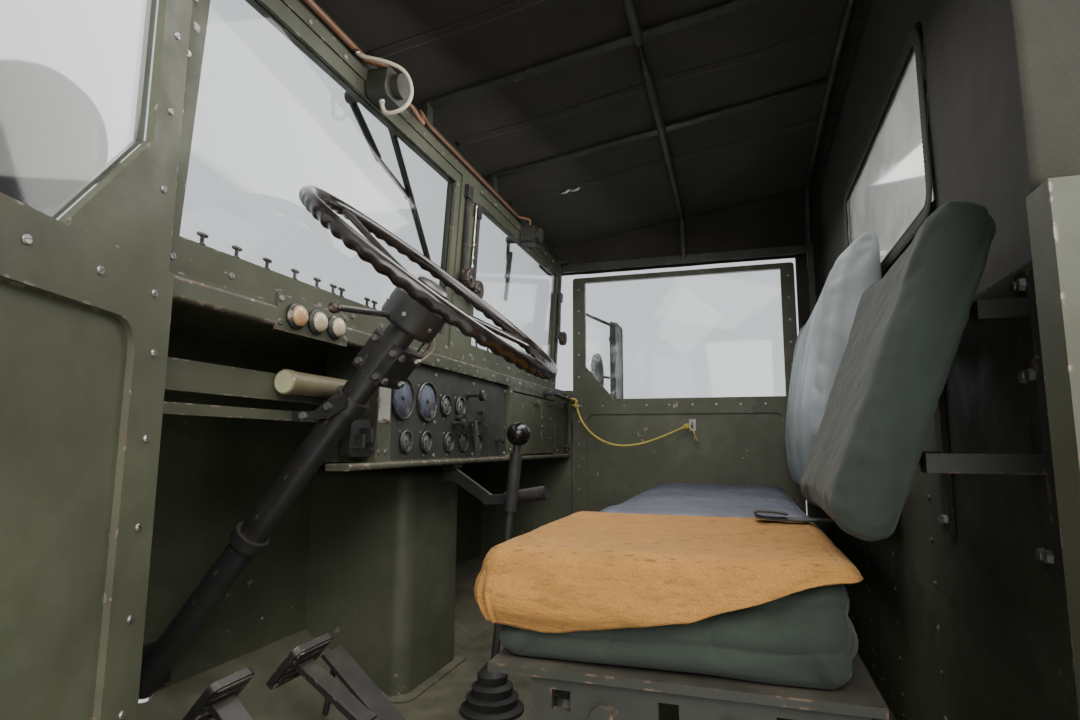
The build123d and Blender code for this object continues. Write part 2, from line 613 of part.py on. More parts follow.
def make_gauges():
    """Each gauge is one turning: can, flange with rolled bezel, and a sunk dial."""
    parts = []
    for x, z, r in GAUGES:
        can_r, depth, lip = r - 5 - SEAT_GAP, 46.0, 7.0
        pts = [(0, -depth), (can_r, -depth), (can_r, SEAT_GAP), (r, SEAT_GAP), (r, lip - 2),
               (r - 3, lip), (r - 6, lip), (r - 8, 3), (0, 3)]
        half = make_face(Polyline([(a, 0, b) for a, b in pts], close=True))
        turned = revolve(half, Axis.Z, 360)
        parts.append(Pos(x, PANEL_FACE, z) * Rot(-90, 0, 0) * turned)
    return Compound(children=parts)


def make_lamps():
    """Three warning lamps with stepped bezels and domed lenses on the lamp plate."""
    lamps = []
    for x in (605, 655, 705):
        pts = [(0, SEAT_GAP), (21, SEAT_GAP), (21, 6), (17, 12), (13, 13), (8, 17), (0, 19)]
        half = make_face(Polyline([(a, 0, b) for a, b in pts], close=True))
        lamps.append(Pos(x, DASH_FACE, 884) * Rot(-90, 0, 0) * revolve(half, Axis.Z, 360))
    return Compound(children=lamps)


def pull_knob(x, z, face, stem, knob_r, knob_t):
    """Turned pull knob on a stem."""
    pts = [(0, SEAT_GAP), (9, SEAT_GAP), (9, 4), (4, 5), (4, stem), (knob_r, stem + 3), (knob_r, stem + knob_t),
           (knob_r - 4, stem + knob_t + 3), (0, stem + knob_t + 3)]
    half = make_face(Polyline([(a, 0, b) for a, b in pts], close=True))
    return Pos(x, face, z) * Rot(-90, 0, 0) * revolve(half, Axis.Z, 360)


def make_controls():
    """Knobs, light switch, pull handle and lever that stand on the dash."""
    items = [pull_knob(99, 738, PANEL_FACE, 22, 13, 10), pull_knob(17, 812, PANEL_FACE, 34, 15, 12),
             pull_knob(-190, 700, PANEL_FACE, 14, 10, 8), pull_knob(GRAB_X1 + 32, 679, DASH_FACE, 12, 14, 9)]
    switch = rounded(466, 530, -556, -530, 664, 732, Axis.Y, 8)
    switch += block(474, 482, -531, -510, 676, 700) + block(494, 502, -531, -506, 690, 716)
    switch += block(514, 522, -531, -510, 680, 704)
    switch += block(PILLAR_X1 + SEAT_GAP, 470, -552, -540, 680, 716)
    rail = block(-104, 104, -506, -498, 744, 760)
    rail += rod((-96, PANEL_FACE + SEAT_GAP, 752), (-96, -502, 752), 7) + rod((84, PANEL_FACE + SEAT_GAP, 752), (84, -502, 752), 7)
    rail += bar((40, -502, 752), (52, -488, 655), 16, 6, (0, 1, 0))
    rail += block(-30, 8, -512, -492, 736, 772)
    return Compound(children=items + [switch, rail])


def make_canister():
    """Small filter bottle clamped to the upper bar of the left bay."""
    r, x0, x1, y, z = 19.0, 500.0, 672.0, BAR_FACE + 19.0 + SEAT_GAP, 786.0
    pts = [(0, 0), (r - 5, 0), (r, 5), (r, x1 - x0 - 14), (r + 1.5, x1 - x0 - 13), (r + 1.5, x1 - x0 - 2), (r - 1, x1 - x0), (0, x1 - x0)]
    half = make_face(Polyline([(a, 0, b) for a, b in pts], close=True))
    return Pos(x0, y + 1.5, z) * Rot(0, 90, 0) * revolve(half, Axis.Z, 360)


def make_glovebox_tray():
    """Open box behind the lid."""
    x0, x1, y0, y1 = BOX_X0 - 6, BOX_X1 + 6, -720.0, DASH_FACE - FASCIA_T - SEAT_GAP
    z0, z1, wall = FASCIA_Z0 + 1, LID_TOP + 12, 4.0
    tray = block(x0, x1, y0, y1, z0, z1)
    return tray - block(x0 + wall, x1 - wall, y0 + wall, y1 + 1, z0 + wall, z1 - wall)


def make_glovebox_lid():
    """Lid that drops towards the seat on two pins, with blank plates and a knob."""
    x0, x1 = BOX_X0 + LID_GAP, BOX_X1 - LID_GAP
    lid = block(x0, x1, LID_Y - FASCIA_T / 2, DASH_FACE, LID_AXIS_Z, LID_TOP)
    lid += Pos((x0 + x1) / 2, LID_Y, LID_AXIS_Z) * Rot(0, 90, 0) * Cylinder(FASCIA_T / 2, x1 - x0)
    for end in (x0, x1):
        lid += Pos(end, LID_Y, LID_AXIS_Z) * Rot(0, 90, 0) * Cylinder(4.0, 22)
    for px, pz, w, h in ((-640, 796, 120, 44), (-640, 731, 120, 56), (-450, 786, 150, 60)):
        lid += rounded(px - w / 2, px + w / 2, DASH_FACE - 1, DASH_FACE + 1.5, pz - h / 2, pz + h / 2, Axis.Y, 5)
    lid += pull_knob(-515, 826, DASH_FACE - SEAT_GAP - 1, 8, 12, 8)
    return lid


def make_grab_handle():
    """Bar on two standoffs along the right of the dash."""
    y, z0, z1 = GRAB_Y, GRAB_Z0, GRAB_Z1
    bar_r = GRAB_R
    shape = rod((GRAB_X0, y, z0), (GRAB_X1, y, z1), bar_r)
    fall = (z0 - z1) / (GRAB_X0 - GRAB_X1)
    for x in (GRAB_X0 - 20, GRAB_X1 + 14):
        z = z0 - fall * (GRAB_X0 - x)
        shape += rod((x, DASH_FACE + SEAT_GAP, z), (x, y, z), bar_r - 2)
        shape += Pos(x, DASH_FACE + SEAT_GAP + 3, z) * Rot(90, 0, 0) * Cylinder(14, 6)
    return shape


def make_column():
    """Jacket, signal unit under the wheel, dash clamp and floor plate."""
    housing_top = -HUB_DROP - 6
    column = Pos(0, 0, housing_top - HOUSING_H / 2) * Cylinder(HOUSING_R, HOUSING_H)
    column = fillet(column.edges().filter_by(GeomType.CIRCLE).group_by(Axis.Z)[0], 10)
    jacket_end = -COLUMN_RUN - 12
    jacket_top = housing_top - HOUSING_H + 1
    column += Pos(0, 0, (jacket_top + jacket_end) / 2) * Cylinder(JACKET_R, jacket_top - jacket_end)
    column += block(-52, 20, -30, 34, -190, -118)
    column += rod((30, -8, -78), (160, -19, -102), 5) + Pos(160, -19, -102) * ball(9)
    column += rod((-JACKET_R - 3, 8, jacket_top + 4), (-JACKET_R - 3, 8, -240), 4)
    for z0, z1 in ((-262, -236), (-560, -538)):
        column += Pos(0, 0, (z0 + z1) / 2) * Cylinder(JACKET_R + 7, z1 - z0)
    column -= Pos(0, 0, -COLUMN_RUN / 2) * Cylinder(SHAFT_R + 3, COLUMN_RUN * 2)
    bush = Pos(0, 0, housing_top - 12) * Cylinder(SHAFT_R + 4, 24)
    low_bush = Pos(0, 0, jacket_end + 15) * Cylinder(SHAFT_R + 4, 30)
    column += (bush + low_bush) - Pos(0, 0, -COLUMN_RUN / 2) * Cylinder(SHAFT_R + 0.1, COLUMN_RUN * 2)
    z = WHEEL_C[2] - COLUMN_RUN * cos(radians(WHEEL_TILT))
    flange = block(WHEEL_C[0] - 50, WHEEL_C[0] + 50, FIREWALL_Y + SEAT_GAP, FIREWALL_Y + 6, TOE_Z + 8, z + 66)
    flange -= column_cutter(JACKET_R - 1)
    return STEER * column + make_column_bracket() + flange


def make_column_bracket():
    """Two hanger plates from the lower bar of the left bay to the clamp on the jacket."""
    clamp_run = 249.0
    y = WHEEL_C[1] - clamp_run * sin(radians(WHEEL_TILT))
    z = WHEEL_C[2] - clamp_run * cos(radians(WHEEL_TILT))
    bar_z0, bar_z1 = LOW_BAR
    bar_y = BAR_FACE + SEAT_GAP
    outline = [(bar_y, bar_z1), (bar_y, bar_z0), (y - 17, z - 28), (y + 15, z - 11), (y + 15, z + 14), (y - 15, z + 6), (bar_y + 44, bar_z1)]
    hanger = Part()
    for side in (-1, 1):
        x0 = WHEEL_C[0] + side * (JACKET_R + 3)
        x1 = x0 + side * 6
        hanger += profile_x(outline, min(x0, x1), max(x0, x1))
    return hanger


def make_shaft():
    """Steering shaft from the hub down through the firewall."""
    top = -HUB_DROP + 2
    end = -COLUMN_RUN - SHAFT_OUT
    shaft = Pos(0, 0, (top + end) / 2) * Cylinder(SHAFT_R, top - end)
    shaft += Pos(0, 0, end - SHAFT_TIP / 2) * Cylinder(SHAFT_TIP_R, SHAFT_TIP)
    return STEER * shaft


SPOKES = (270, 30, 150)


def make_wheel():
    """Rim on three dished spokes with the hub."""
    wheel = Torus(WHEEL_R, RIM_R)
    hub = Pos(0, 0, (-HUB_DROP - HUB_RISE) / 2) * Cylinder(44, HUB_DROP - HUB_RISE)
    wheel += fillet(hub.edges().filter_by(GeomType.CIRCLE).group_by(Axis.Z)[0], 6)
    for a in SPOKES:
        c, s = cos(radians(a)), sin(radians(a))
        inner = (34 * c, 34 * s, -HUB_DROP + 9)
        outer = (WHEEL_R * c, WHEEL_R * s, 0)
        wheel += bar(inner, outer, 30, 9)
    wheel -= Pos(0, 0, -HUB_DROP) * Cylinder(SHAFT_R, 2 * 2.0)
    return STEER * wheel


def make_horn():
    """Horn button with a domed top in the hub."""
    pts = [(0, 0), (30, 0), (30, 6), (24, 10), (10, 13), (0, 13)]
    half = make_face(Polyline([(a, 0, b) for a, b in pts], close=True))
    return STEER * Pos(0, 0, -HUB_RISE + SEAT_GAP) * revolve(half, Axis.Z, 360)


PEDALS = {   # arm x, floor bracket's y, pad's centre, pad's width and height, lean in degrees
    "clutch": (706.0, -430.0, (706.0, -618.0, 312.0), (84.0, 84.0), 40),
    "brake": (500.0, -400.0, (512.0, -625.0, 305.0), (104.0, 88.0), 40),
}


def make_pedal(x, foot_y, pad, size, lean):
    """Floor bracket, bent arm and ribbed pad of one pedal."""
    foot = (x, foot_y, FLOOR_Z + 26)
    knee = (x, (foot_y + pad[1]) / 2 + 20, (foot[2] + pad[2]) / 2 - 6)
    shape = bar(foot, knee, 42, 10) + bar(knee, pad, 42, 10)
    shape += Pos(*knee) * Rot(0, 90, 0) * Cylinder(7, 42)
    shape += Pos(*foot) * Rot(0, 90, 0) * Cylinder(13, 60)
    shape += block(x - 38, x - 30, foot_y - 20, foot_y + 20, FLOOR_Z + SEAT_GAP, FLOOR_Z + 42)
    shape += block(x + 30, x + 38, foot_y - 20, foot_y + 20, FLOOR_Z + SEAT_GAP, FLOOR_Z + 42)
    shape += block(x - 44, x + 44, foot_y - 30, foot_y + 30, FLOOR_Z + SEAT_GAP, FLOOR_Z + 8)
    w, h = size
    plate = rounded(-w / 2, w / 2, -6, 6, -h / 2, h / 2, Axis.Y, 12)
    rows = 5
    for i in range(rows):
        z = -h / 2 + h * (i + 0.5) / rows
        plate += block(-w / 2 + 8, w / 2 - 8, 5, 9, z - h / rows / 4, z + h / rows / 4)
    return shape + Pos(*pad) * Rot(-lean, 0, 0) * plate


def make_accelerator():
    """Treadle plate hinged on the floor in front of the right foot."""
    x, y0, z0 = 330.0, -520.0, FLOOR_Z + 14
    y1, z1 = -690.0, 262.0
    shape = bar((x, y0, z0), (x, y1, z1), 62, 8, (0, 1, 0.9))
    shape += Pos(x, y0, z0) * Rot(0, 90, 0) * Cylinder(8, 74)
    shape += block(x - 40, x + 40, y0 - 16, y0 + 16, FLOOR_Z + SEAT_GAP, FLOOR_Z + 10)
    return shape + rod((x, y1 + 12, z1 - 14), (x, y1 - 6, FLOOR_Z + TOE_SLOPE * (TOE_Y - y1 + 6) + 5), 6)


def make_parking_brake():
    """Bent lever that hangs under the dash lip, with its round grip."""
    x = 100.0
    z_lip = LIP_Z - SEAT_GAP
    shape = block(x - 20, x + 20, -556, -516, z_lip - 8, z_lip)
    shape += block(x - 6, x + 6, -556, -520, z_lip - 40, z_lip - 4)
    shape += bar((x, -532, z_lip - 20), (x, -432, 556), 12, 26, (0, 0.6, 1))
    shape += bar((x, -436, 558), (x, -384, 562), 12, 22)
    return shape + rod((x, -392, 562), (x, -296, 578), 16)


def make_gear_lever():
    """Gear lever with ball knob, standing in a pleated boot."""
    base = (140.0, -405.0, FLOOR_Z + SEAT_GAP)
    knob = (140.0, -350.0, 711.0)
    run = Vector(*knob) - Vector(base[0], base[1], base[2] + 60)
    low, high = (Vector(base[0], base[1], base[2] + 60) + run * share for share in (0.68, 0.92))
    lever = rod((base[0], base[1], base[2] + 60), knob, 9) + Pos(*knob) * Sphere(27)
    lever += rod(low, high, 14)
    pts = [(0, 0), (70, 0), (70, 8), (56, 14), (58, 30), (44, 34), (46, 52), (32, 58), (34, 76), (16, 96), (0, 96)]
    half = make_face(Polyline([(a, 0, b) for a, b in pts], close=True))
    return lever + Pos(*base) * revolve(half, Axis.Z, 360)


SEAT_MID = (SEAT_X0 + SEAT_X1) / 2
PEDESTAL_TOP = 340.0


def make_pedestal():
    """Base frame bolted to the floor: two stands with cross bars and the spring towers."""
    shape = Part()
    x0, x1, y0, y1 = SEAT_X0 + 50, SEAT_X1 - 50, -90.0, 190.0
    z0 = FLOOR_Z + SEAT_GAP
    for x in (x0, x1):
        shape += block(x - 20, x + 20, y0, y1, z0, z0 + 6)
        shape += block(x - 4, x + 4, y0, y1, z0, z0 + 60)
        for y in (y0 + 16, y1 - 16):
            shape += block(x - 14, x + 14, y - 14, y + 14, z0, PEDESTAL_TOP)
        shape += block(x - 12, x + 12, y0 + 4, y1 - 4, PEDESTAL_TOP - 26, PEDESTAL_TOP)
    for y in (y0 + 16, y1 - 16):
        shape += block(x0, x1, y - 10, y + 10, PEDESTAL_TOP - 24, PEDESTAL_TOP)
        shape += block(x0, x1, y - 10, y + 10, z0 + 20, z0 + 44)
    return shape


def make_seat_frame():
    """Seat pan on channels, with the square-holed side brackets and the suspension springs."""
    x0, x1 = SEAT_X0 + 26, SEAT_X1 - 26
    y0, y1 = SEAT_Y0 + 70, SEAT_Y1 - 14
    top = SEAT_BOTTOM - SEAT_GAP
    pan_z, rail_z = top - 10, top - 60
    shape = block(SEAT_X0 + 12, SEAT_X1 - 12, SEAT_Y0 + 20, SEAT_Y1, pan_z, top)
    shape += block(x0, x1, y0, y0 + 6, rail_z + 20, pan_z + 1) + block(x0, x1, y1 - 6, y1, rail_z + 20, pan_z + 1)
    hole = 22.0
    for x in (x0, x1):
        rail = block(x - 5, x + 5, y0, y1, rail_z, pan_z + 1)
        for y in (y0 + 36, y0 + 156, y0 + 276):
            rail -= block(x - 9, x + 9, y - hole / 2, y + hole / 2, rail_z + 14, rail_z + 14 + hole)
        for y in (y0 + 84, y0 + 220):
            rail += Pos(x, y, rail_z + 12) * Rot(0, 90, 0) * Cylinder(14, 26)
        shape += rail
    wire, reach = 5.0, 26.0
    low = PEDESTAL_TOP + SEAT_GAP
    turns = 5
    step = (pan_z - low) / turns
    for sx in (SEAT_X0 + 70, SEAT_X1 - 70):
        for sy in (-74.0, 174.0):
            pts = [(0, low)]
            for i in range(turns):
                pts += [(reach - wire, low + i * step), (reach, low + (i + 0.5) * step)]
            pts += [(reach - wire, pan_z + 0.5), (0, pan_z + 0.5)]
            half = make_face(Polyline([(r, 0, z) for r, z in pts], close=True))
            shape += Pos(sx, sy, 0) * revolve(half, Axis.Z, 360)
    return shape


def make_driver_cushion():
    inset = COVER_T + SEAT_GAP
    return pillow(SEAT_X0 + inset, SEAT_X1 - inset, SEAT_Y0 + inset, SEAT_Y1 - inset, SEAT_BOTTOM, SEAT_TOP - inset, 22)


def make_seat_cover():
    """Fleece thrown over the cushion, its hem rising towards the back."""
    outer = pillow(SEAT_X0, SEAT_X1, SEAT_Y0, SEAT_Y1, SEAT_BOTTOM - 40, SEAT_TOP, 24)
    cushion = block(SEAT_X0 + COVER_T, SEAT_X1 - COVER_T, SEAT_Y0 + COVER_T, SEAT_Y1 - COVER_T, SEAT_BOTTOM - 60, SEAT_TOP - COVER_T)
    cushion = fillet(cushion.edges().filter_by(Axis.Z) + cushion.faces().sort_by(Axis.Z)[-1].edges(), 20)
    hem = [(SEAT_Y0 - 5, 488), (-95, 474), (70, 501), (SEAT_Y1 + 5, 556), (SEAT_Y1 + 5, 380), (SEAT_Y0 - 5, 380)]
    return outer - cushion - profile_x(hem, SEAT_X0 - 5, SEAT_X1 + 5)


def make_driver_back():
    """Short reclined back cushion of the driver's seat, carried by the rear wall's brackets."""
    shape = pillow(SEAT_X0, SEAT_X1 - 4, 0, BACK_T, 0, 400, 24)
    return Pos(0, *BACK_FOOT) * Rot(-BACK_LEAN, 0, 0) * shape


def make_back_brackets():
    """Two posts from the floor behind the driver's seat with the plate that carries its backrest."""
    shape = Part()
    for x in (SEAT_X0 + 60, SEAT_X1 - 60):
        shape += block(x - 15, x + 15, REAR_Y - SEAT_GAP - 8, REAR_Y - SEAT_GAP, 560, 1000 - 130)
        for z in (660, 820):
            lean = radians(BACK_LEAN)
            reach = BACK_FOOT[0] + BACK_T / cos(lean) + (z + 20 - BACK_FOOT[1]) * tan(lean)
            shape += block(x - 12, x + 12, reach + SEAT_GAP + 0.05, REAR_Y - SEAT_GAP - 7, z, z + 20)
    return shape


def make_lap_belt():
    """Folded webbing strap lying over the seat's right rear corner."""
    z = SEAT_TOP + SEAT_GAP
    return rounded(392, 438, 150, 206, z, z + 13, Axis.Z, 6)


def make_companion_box():
    """Battery box under the bench, with a lid edge and pressed front."""
    x0, x1 = BENCH_X0 + 30, BENCH_X1 - 24
    y0, y1, z1 = BENCH_Y0 + 34, BENCH_Y1 - 10, BENCH_TOP - BENCH_T - SEAT_GAP
    box = block(x0, x1, y0, y1, FLOOR_Z + SEAT_GAP, z1)
    box -= block(x0 + 6, x1 - 6, y0 + 6, y1 - 6, FLOOR_Z + 6, z1 - 8)
    box += block(x0 - 12, x1 + 12, y0 - 14, y1 + 4, z1 - 16, z1)
    for a, b in ((x0 + 60, x0 + 300), (x0 + 360, x1 - 360), (x1 - 300, x1 - 60)):
        box += rounded(a, b, y0 - 5, y0 + 1, FLOOR_Z + 60, z1 - 60, Axis.Y, 20)
    return box


def make_companion_cushion():
    return pillow(BENCH_X0, BENCH_X1, BENCH_Y0, BENCH_Y1, BENCH_TOP - BENCH_T, BENCH_TOP, 20)


def make_companion_back():
    """Bench backrest: upright front, leaning and rounded off at the top."""
    back = REAR_Y - SEAT_GAP
    front = [(298, 556), (283, 708), (300, 852), (332, 1025), (352, 1090)]
    path = [Line((0, *front[0]), (0, *front[1])), ThreePointArc((0, *front[1]), (0, *front[2]), (0, *front[3])),
            Line((0, *front[3]), (0, *front[4])), ThreePointArc((0, *front[4]), (0, 378, 1130), (0, back - 10, 1144)),
            Line((0, back - 10, 1144), (0, back, 1126)), Line((0, back, 1126), (0, back, 620)),
            Line((0, back, 620), (0, back - 32, 556)), Line((0, back - 32, 556), (0, *front[0]))]
    x0 = BENCH_X0 + 62
    shape = extrude(make_face(Wire(path)), BENCH_X1 - 2 - x0, dir=(1, 0, 0))
    return Pos(x0, 0, 0) * shape


def door_outline(inset=0.0):
    return [(DOOR_Y0 + inset, DOOR_Z0 + inset), (DOOR_Y1 - inset, DOOR_Z0 + inset),
            (DOOR_Y1 - inset, DOOR_Z1 - inset), (DOOR_Y0 + inset, DOOR_Z1 - inset)]


def window_outline(grow=0.0):
    return [(WIN_Y0 - grow, BELT_Z + WIN_CUT_Z + grow), (WIN_Y0 - grow, WIN_Z1 + grow), (WIN_Y1 + grow, WIN_Z1 + grow),
            (WIN_Y1 + grow, BELT_Z - grow), (WIN_Y0 + WIN_CUT_Y, BELT_Z - grow)]


def make_door_shell():
    """Closed left door: full-thickness lower box, thinner window frame, pressed panels."""
    shell = profile_x(door_outline(), INNER_X, HALF_W)
    shell = fillet(shell.edges().filter_by(Axis.X).group_by(Axis.Z)[0], 24)
    shell = fillet(shell.edges().filter_by(Axis.X).group_by(Axis.Z)[-1], 12)
    shell -= profile_x(window_outline(), INNER_X - 1, HALF_W + 1)
    above = BELT_Z + 4
    shell -= block(INNER_X - 1, INNER_X + 6, DOOR_Y0 - 1, DOOR_Y1 + 1, above, DOOR_Z1 + 1)
    shell -= block(HALF_W - 8, HALF_W + 1, DOOR_Y0 - 1, DOOR_Y1 + 1, above + 20, DOOR_Z1 + 1)
    recess = rounded(HALF_W - 5, HALF_W + 1, DOOR_Y0 + 70, DOOR_Y1 - 70, DOOR_Z0 + 60, BELT_Z - 190, Axis.X, 36)
    shell -= recess
    inner = rounded(INNER_X - 1, INNER_X + 7, DOOR_Y0 + 60, DOOR_Y1 - 60, DOOR_Z0 + 50, BELT_Z - 60, Axis.X, 30)
    shell -= inner
    shell += block(HALF_W - 1, HALF_W + 5, DOOR_Y0 + 30, DOOR_Y1 - 20, BELT_Z - 46, BELT_Z - 30)
    return shell


def make_door_glass():
    g = SEAT_GAP
    x = INNER_X + 14
    return profile_x(window_outline(-g), x, x + 5)


def make_door_fittings(side):
    """Hinge straps with eyes, outer handle, inner lever, window crank and rope hook."""
    shape = []
    for z in HINGE_ZS:
        h = HINGE_H / 2 - 1
        strap = block(HALF_W + SEAT_GAP, HINGE_X - 6, HINGE_Y + 13, HINGE_Y + 150, z - h, z + h)
        strap += block(HINGE_X - HINGE_EYE_R + 1, HINGE_X - 5, HINGE_Y + 2, HINGE_Y + 14, z - h, z + h)
        strap += Pos(HINGE_X, HINGE_Y, z) * Cylinder(HINGE_EYE_R, 2 * h)
        strap -= Pos(HINGE_X, HINGE_Y, z) * Cylinder(HINGE_PIN_R + 0.15, 4 * h)
        shape.append(strap)
    out = HALF_W + SEAT_GAP
    handle = Pos(out + 5, 262, 790) * Rot(0, 90, 0) * Cylinder(20, 10)
    handle += rod((out + 8, 262, 790), (out + 34, 262, 790), 8) + bar((out + 34, 266, 792), (out + 34, 168, 760), 18, 10, (1, 0, 0))
    shape.append(handle)
    inn = INNER_X - SEAT_GAP
    lever = Pos(inn - 4, 316, 800) * Rot(0, 90, 0) * Cylinder(18, 8)
    lever += bar((inn - 14, 316, 806), (inn - 18, 316, 700), 18, 8, (1, 0, 0)) + rod((inn, 316, 800), (inn - 16, 316, 800), 8)
    shape.append(lever)
    face = inn + 7
    cy, cz = -330.0, 396.0
    crank = Pos(face - 5, cy, cz) * Rot(0, 90, 0) * Cylinder(18, 10)
    crank += bar((face - 14, cy, cz + 6), (face - 20, cy + 10, cz - 92), 16, 7, (1, 0, 0)) + rod((face, cy, cz), (face - 16, cy, cz), 8)
    crank += rod((face - 20, cy + 9, cz - 84), (face - 46, cy + 9, cz - 84), 9)
    shape.append(crank)
    if side < 0:
        hook = block(face - 4, face, HOOK_Y - 12, HOOK_Y + 12, HOOK_Z - 22, HOOK_Z + 22)
        hook += bent_rod([(face - 2, HOOK_Y, HOOK_Z - 8), (INNER_X - 22, HOOK_Y, HOOK_Z - 8), (INNER_X - 22, HOOK_Y, HOOK_Z + 16)], 4, 8)
        shape.append(hook)
    return Compound(children=shape)


HOOK_Y, HOOK_Z = -37.0, 764.0
MIRROR_BAR = (HALF_W + 215.0, -392.0)


def make_mirror():
    """Mirror bracket of bent tube with a tall head and a round convex mirror."""
    bx, by = MIRROR_BAR
    r = 8.0
    arm_r = 6.5
    skin = HALF_W - 8 + SEAT_GAP
    high = DOOR_Z1 - 135
    shape = rod((skin + 3, -482, high), (bx, by, high - 23), arm_r)
    shape += Pos(skin + 3, -482, high) * Rot(0, 90, 0) * Cylinder(14, 6)
    shape += rod((bx, by, high - 7), (bx, by, 590), r)
    low = HALF_W + SEAT_GAP
    shape += rod((bx, by, 600), (low + 3, -440, 560), arm_r) + Pos(low + 3, -440, 560) * Rot(0, 90, 0) * Cylinder(16, 6)
    head = rounded(bx - 88, bx + 88, by + 9, by + 34, high - 413, high - 23, Axis.Y, 24)
    head -= rounded(bx - 80, bx + 80, by + 31, by + 40, high - 405, high - 31, Axis.Y, 18)
    for z in (high - 355, high - 85):
        shape += block(bx - 12, bx + 12, by - 10, by + 10, z - 10, z + 10)
    shape += head
    shape += rod((bx, by, high - 258), (bx - 105, -430, high - 258), 5)
    disc = Pos(bx - 115, -432, high - 258) * Rot(90, 0, 0) * Cylinder(95, 18)
    disc = fillet(disc.edges().filter_by(GeomType.CIRCLE), 4)
    return shape + disc


def hang(shape, side, opened):
    """Place a piece of the door: mirrored to its side, then swung open about the hinge."""
    if side < 0:
        return mirror_x(shape)
    pin = Pos(HINGE_X, HINGE_Y, 0)
    return pin * Rot(0, 0, -opened) * pin.inverse() * shape


ROPE_POINTS = [(LOOP_X + x, y, z) for x, y, z in (
    (1.5, -468.8, 830.6), (9, -458, 794), (16, -424, 744), (22, -372, 704), (28, -308, 684),
    (20, -238, 688), (0, -170, 708), (-20, -106, 736), (-34, -64, 756))]


def make_rope():
    """Thin rope from the grab handle to the door hook, sagging between its knots."""
    pts = [Vector(*p) for p in ROPE_POINTS]
    radii = []
    for a, b, c in zip(pts, pts[1:], pts[2:]):
        turn = (b - a).get_angle(c - b)
        radii.append(0.45 * min((b - a).length, (c - b).length) / tan(radians(turn / 2)))
    print("rope radii", [round(r) for r in radii])
    path = FilletPolyline(*pts, radius=radii)
    tube = sweep(Plane(origin=path @ 0, z_dir=path % 0) * Circle(ROPE_R), path=path)
    print("rope length", round(path.length, 1), "volume ratio", round(tube.volume / (path.length * 3.14159 * ROPE_R ** 2), 4))
    return tube


def make_rope_loop():
    """Loop of the rope tied round the grab handle."""
    z = GRAB_Z0 - (GRAB_Z0 - GRAB_Z1) * (GRAB_X0 - LOOP_X) / (GRAB_X0 - GRAB_X1)
    inner, outer, w = GRAB_R + 2 * SEAT_GAP, GRAB_R + 2 * ROPE_R + SEAT_GAP, ROPE_R
    mid = (inner + outer) / 2
    pts = [(inner, -w / 2), (mid, -w), (outer, -w / 2), (outer, w / 2), (mid, w), (inner, w / 2)]
    half = make_face(Polyline([(r, 0, b) for r, b in pts], close=True))
    ring = Pos(LOOP_X, GRAB_Y, z) * Rot(0, 90, 0) * revolve(half, Axis.Z, 360)
    knot = Pos(LOOP_X, -471.0, 838.0) * ball(7)
    return ring + knot - rod((GRAB_X0, GRAB_Y, GRAB_Z0), (GRAB_X1, GRAB_Y, GRAB_Z1), GRAB_R + SEAT_GAP)


def make_rope_knot():
    """Knot at the door hook, its flat pole facing the rope's end."""
    end = Vector(*ROPE_POINTS[-1])
    along = (end - Vector(*ROPE_POINTS[-2])).normalized()
    return Plane(origin=end + along * (9 + SEAT_GAP), z_dir=along) * ball(9)


def build():
    nodes = {
        "floor_pan": make_floor(), "cab_sills": make_sills(), "cowl": make_cowl(), "engine_tunnel": make_tunnel(),
        "rear_wall": make_rear_wall(), "windshield_frame": make_windshield_frame(),
        "pane_frame_left": make_pane_frame(1), "pane_frame_right": make_pane_frame(-1),
        "pane_left": make_pane_glass(1), "pane_right": make_pane_glass(-1),
        "pane_arms": make_pane_arms(), "wipers": make_wipers(), "wiper_motors": make_wiper_motors(),
        "header_hoses": make_header_hoses(), "wiper_hose": make_wiper_hose(), "soft_top": make_soft_top(), "rear_window": make_rear_window(),
        "top_bows": make_bows(), "dash_panel": make_dash_panel(), "instrument_panel": make_instrument_panel(),
        "gauges": make_gauges(), "dash_lamps": make_lamps(), "dash_controls": make_controls(),
        "canister": make_canister(), "glovebox_tray": make_glovebox_tray(), "glovebox_lid": make_glovebox_lid(),
        "grab_handle": make_grab_handle(), "steering_column": make_column(), "steering_shaft": make_shaft(),
        "steering_wheel": make_wheel(), "horn_button": make_horn(),
        "clutch_pedal": make_pedal(*PEDALS["clutch"]), "brake_pedal": make_pedal(*PEDALS["brake"]),
        "accelerator_pedal": make_accelerator(), "parking_brake": make_parking_brake(), "gear_lever": make_gear_lever(),
        "seat_pedestal": make_pedestal(), "seat_frame": make_seat_frame(), "driver_cushion": make_driver_cushion(),
        "seat_cover": make_seat_cover(), "driver_backrest": make_driver_back(), "backrest_brackets": make_back_brackets(),
        "lap_belt": make_lap_belt(), "companion_box": make_companion_box(),
        "companion_cushion": make_companion_cushion(), "companion_backrest": make_companion_back(),
        "rope": make_rope(), "rope_loop": make_rope_loop(), "rope_knot": make_rope_knot(),
    }
    for side, word in ((1, "left"), (-1, "right")):
        nodes[f"door_{word}"] = hang(make_door_shell(), side, OPEN_DEG)
        nodes[f"door_glass_{word}"] = hang(make_door_glass(), side, OPEN_DEG)
        nodes[f"door_fittings_{word}"] = hang(make_door_fittings(side), side, OPEN_DEG)
        nodes[f"mirror_{word}"] = hang(make_mirror(), side, OPEN_DEG)
    for name, shape in nodes.items():
        save(name, shape)


build()
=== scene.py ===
# %% [markdown]
# # The cab of a military truck, with its interior
#
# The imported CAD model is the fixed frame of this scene: floor, dash, doors, seats and hood
# stand where the solids say. Blender adds what the solids leave out: the finish of each
# material, the soft goods, and the small repeated things such as studs, screws, stitches
# and dial marks. Distances are in metres, +X is the driver's side, +Y the back, +Z up.

